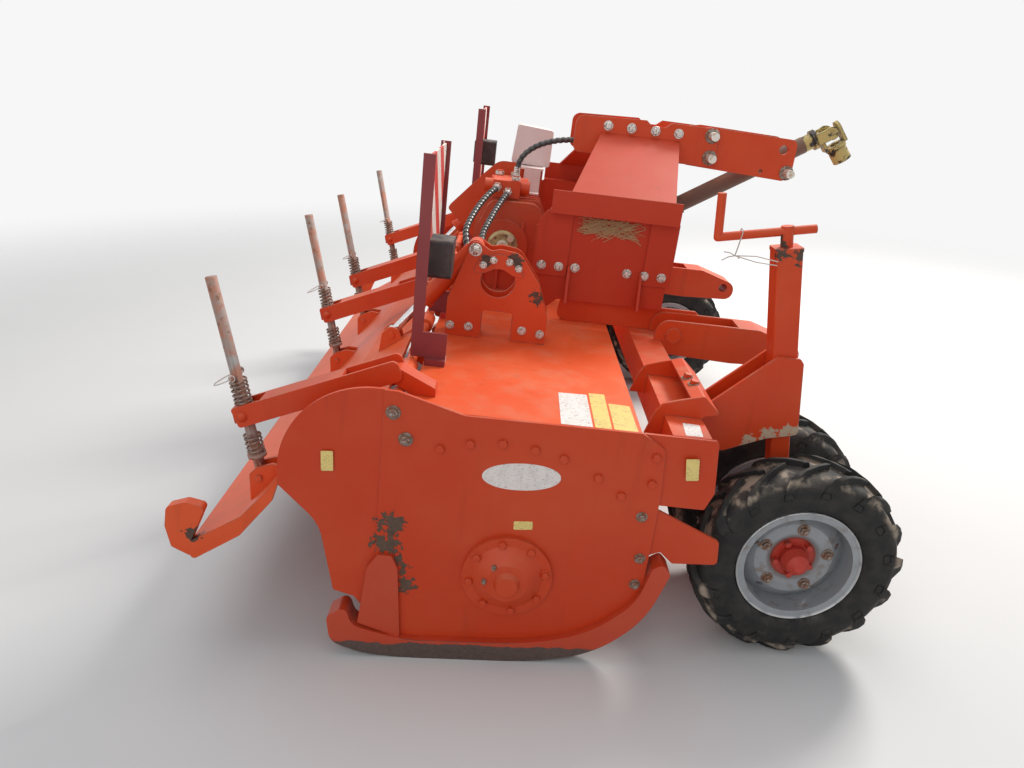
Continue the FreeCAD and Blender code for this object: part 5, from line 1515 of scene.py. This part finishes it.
class Trim:
    """Small fittings: grease nipples, crank tie, washers, union nuts and dry grass."""

    def build(self) -> None:
        """Builds each of them."""
        self.nipples()
        self.crank_tie()
        self.clamp_washers()
        self.valve_nuts()
        self.straw()
        self.pin_washers()
        self.wheel_bolts()

    def nipples(self) -> None:
        """Grease nipples on the bearing cap."""
        form = Form()
        nipple = ((-6, 6.5), (2, 6.5), (2.2, 4), (7, 4), (8, 3), (10, 3.4), (12, 1.5))
        for x, z in ((-38, 47), (-60, 2)):
            form.lathe(nipple, Vector((x, -1366, z)), Vector((0, -1, 0)), 12)
        form.done("grease_nipples", "dull", Body.FRAME, "pin_steel")

    def crank_tie(self) -> None:
        """Wire tie hung on the near crank and round its post."""
        form = Form()
        top = Vector((505, -LEG_Y, 920))
        knot = top + Vector((-6, -6, -58))
        hang = [top + Vector((0, u * 12, v * 13)) for u, v in circle(14)]
        form.tube(hang, 1.6, 6, loop=True)
        form.tube([top + Vector((-1, -11, -6)), top + Vector((-3, -8, -34)), knot], 1.8, 6)
        for end in ((-34, -8, -14), (-28, 6, 6), (16, 12, -8)):
            form.tube([knot, knot + Vector(end) * 0.5 + Vector((0, 0, 3)), knot + Vector(end)], 1.5, 6)
        post = knot + Vector((102, -4, -4))
        form.tube([knot, knot.lerp(post, 0.5) + Vector((0, -22, -4)), post + Vector((-4, -46, 0))], 1.5, 6)
        form.tube([knot, knot.lerp(post, 0.5) + Vector((0, -10, 9)), post + Vector((-4, -46, 10))], 1.5, 6)
        form.done("crank_wire_tie", "twine", Body.FRAME, "pin_steel")

    def clamp_washers(self) -> None:
        """Washers under the square bolts of the clamps' sloped strips."""
        form = Form()
        washer = ((0, 12), (0, 17), (2.4, 16.4), (2.4, 12))
        for place in mirrored(((447, -1025, 505.0), (455, -1075, 507.2))):
            form.lathe(washer, Vector(place), Vector((-0.27, 0, 0.96)), 24, loop=True)
        form.done("clamp_washers", "dull", Body.FRAME, "pin_steel")

    def valve_nuts(self) -> None:
        """Hexagon nuts on the unions of the control valve."""
        form = Form()
        nut = ((0, 13.4), (0, 17), (13, 17), (13, 13.4))
        for x, y in ((-86, -70), (-150, 66), (-90, 66)):
            form.lathe(nut, Vector((x, y, 874)), Vector((0, 0, 1)), 6, loop=True)
        for x, z in ((-152, 846.3), (-112, 832.3)):
            form.lathe(nut, Vector((x, -98, z)), Vector((0, -1, 0)), 6, loop=True)
        form.done("valve_nuts", "zinc", Body.FRAME, "pin_steel")

    def straw(self) -> None:
        """Dry grass caught behind the near headstock lap."""
        form = Form()
        rng = random.Random(11)
        for _ in range(260):
            x, z = rng.uniform(150, 345), rng.uniform(770, 826)
            a = rng.uniform(-0.7, 0.7) + (math.pi if rng.random() < 0.5 else 0)
            long = rng.uniform(24, 70)
            start = Vector((x, -421.5 - rng.uniform(0, 9), z))
            out = -rng.uniform(0, 4)
            bend = Vector((math.cos(a) * long / 2, out, math.sin(a) * long / 2 + rng.uniform(-5, 5)))
            tip = Vector((math.cos(a) * long, rng.uniform(-4, 2), math.sin(a) * long))
            if not (130 < (start + tip).x < 372 and 742 < (start + tip).z < 834):
                continue
            form.tube([start, start + bend, start + tip], rng.uniform(0.5, 1.1), 4)
        form.done("dry_grass", "straw", Body.FRAME)

    def pin_washers(self) -> None:
        """Dark washers round the parked pins of the head."""
        form = Form()
        washer = ((0, 15.4), (0, 27), (2.2, 26), (2.6, 15.4))
        for x, z, y in ((603, 1113, 112), (607, 1037, 112), (902, 1015, 100)):
            for sign in (-1, 1):
                form.lathe(washer, Vector((x, sign * y, z)), Vector((0, sign, 0)), 28, loop=True)
        form.done("pin_washers", "dull", Body.FRAME, "pin_steel")

    def wheel_bolts(self) -> None:
        """Bolts of the discs and valves of the rims."""
        valve = ((0, 4), (26, 4), (26.5, 5), (38, 5), (39, 4))
        for sign, body, side in ((-1, Body.WHEELS_RIGHT, "right"), (1, Body.WHEELS_LEFT, "left")):
            form = Form()
            for way in (-1, 1):
                y = sign * LEG_Y + way * TYRE_OFFSET
                for x, z in circle(5, 92, 14):
                    form.bolt((WHEEL_X + x, y + way * 20, WHEEL_Z + z), (0, way, 0), 25, stub=7)
                stem = Vector((WHEEL_X - 128, y + way * 30, WHEEL_Z + 58))
                form.lathe(valve, stem, Vector((0.3, way, -0.1)), 12)
            form.done(f"wheel_bolts_{side}", "dull", body, "pin_steel")


@dataclass(frozen=True)
class Stage:
    """Floor, light and the camera at the photograph's place.

    Attributes:
        floor_start: Distance in metres at which the floor begins to thin out.
        floor_end: Distance at which it has gone.
        surround: Strength of the even light from all round.
        lamps: Name, place, size, power and colour of each lamp.
        aim: Where the lamps point.
        eye: Place of the camera.
        pitch: How far it looks down, in degrees.
        roll: How far it leans, in degrees.
        lens: Its focal length in millimetres, on a sensor 36 wide.
    """

    floor_start: float = 2.6
    floor_end: float = 7.5
    surround: float = 0.46
    lamps: tuple[tuple[str, Point, float, float, Colour], ...] = (
        ("key", (3.8, 3.4, 5.2), 2.0, 520.0, (1.0, 0.965, 0.92)),
        ("top", (-0.6, 0.2, 5.5), 4.0, 90.0, (1.0, 1.0, 1.0)),
        ("fill", (-2.0, -6.0, 3.4), 5.0, 80.0, (1.0, 1.0, 1.0)),
    )
    aim: Point = (0.1, 0.0, 0.4)
    eye: Point = (-0.1713, -3.085, 1.50)
    pitch: float = 21.43
    roll: float = 2.04
    lens: float = 27.246

    def build(self) -> None:
        """Builds them."""
        self.floor()
        self.lights()
        self.camera()

    def floor(self) -> None:
        """Plain pale floor that thins out into the white surround."""
        mesh = bpy.data.meshes.new("floor")
        reach = self.floor_end * 1.1
        corners = [(x * reach, y * reach, 0.0) for x, y in ((-1, -1), (1, -1), (1, 1), (-1, 1))]
        mesh.from_pydata(corners, [], [(0, 1, 2, 3)])
        floor = bpy.data.objects.new("floor", mesh)
        bpy.context.scene.collection.objects.link(floor)
        t = Tree("pale floor")
        away = t.node("VectorMath", {"operation": "LENGTH"}, {0: t.node("TexCoord", out="Object")}, "Value")
        t.finish(
            t.mix(t.cloud(900, 3), (0.66, 0.655, 0.645), (0.69, 0.685, 0.675)), 0.9, specular=0.1,
            alpha=1.0 - away.rise(self.floor_start, self.floor_end),
        )
        mesh.materials.append(t.material)

    def lights(self) -> None:
        """Large soft lamps high on the right, with a fill from the near side."""
        t = Tree("studio", world=True)
        rays = [t.node("LightPath", out=f"Is {kind} Ray") for kind in ("Camera", "Glossy", "Transmission")]
        even = t.node("Background", inputs={0: (0.90, 0.94, 1.0), 1: self.surround})
        pale = t.node("Background", inputs={0: (0.93, 0.93, 0.93), 1: 1.0})
        seen = rays[0].most(rays[1]).most(rays[2])
        t.close("OutputWorld", t.node("MixShader", inputs={0: seen, 1: even, 2: pale}))
        bpy.context.scene.world = t.material
        for name, place, size, power, colour in self.lamps:
            lamp = bpy.data.lights.new(name, "AREA")
            lamp.size = size
            lamp.energy = power
            lamp.color = colour
            holder = bpy.data.objects.new(name, lamp)
            holder.location = place
            way = Vector(self.aim) - Vector(place)
            holder.rotation_euler = way.to_track_quat("-Z", "Y").to_euler()
            bpy.context.scene.collection.objects.link(holder)

    def camera(self) -> None:
        """Camera at the place and angle worked out from the photograph."""
        data = bpy.data.cameras.new("camera")
        data.sensor_width = 36.0
        data.lens = self.lens
        camera = bpy.data.objects.new("camera", data)
        pitch, roll = math.radians(self.pitch), math.radians(self.roll)
        ahead = Vector((0, math.cos(pitch), -math.sin(pitch)))
        right = Vector((1, 0, 0))
        up = right.cross(ahead)
        x_axis = right * math.cos(roll) + up * math.sin(roll)
        y_axis = up * math.cos(roll) - right * math.sin(roll)
        turn = Matrix((x_axis, y_axis, -ahead)).transposed().to_4x4()
        camera.matrix_world = Matrix.Translation(self.eye) @ turn
        bpy.context.scene.collection.objects.link(camera)
        bpy.context.scene.camera = camera


def main() -> None:
    """Builds the scene, assembly by assembly."""
    logging.basicConfig(level=logging.INFO, format="%(message)s")
    scene = bpy.context.scene
    scene.view_settings.view_transform = "Standard"
    for assembly in (Stage(), Hoses(), CadDress(), Fasteners(), SpringSet(), TwinTyres(), Labels(), Trim()):
        log.info("%s", type(assembly).__name__)
        assembly.build()
    bpy.context.view_layer.update()


if __name__ == "__main__":
    main()
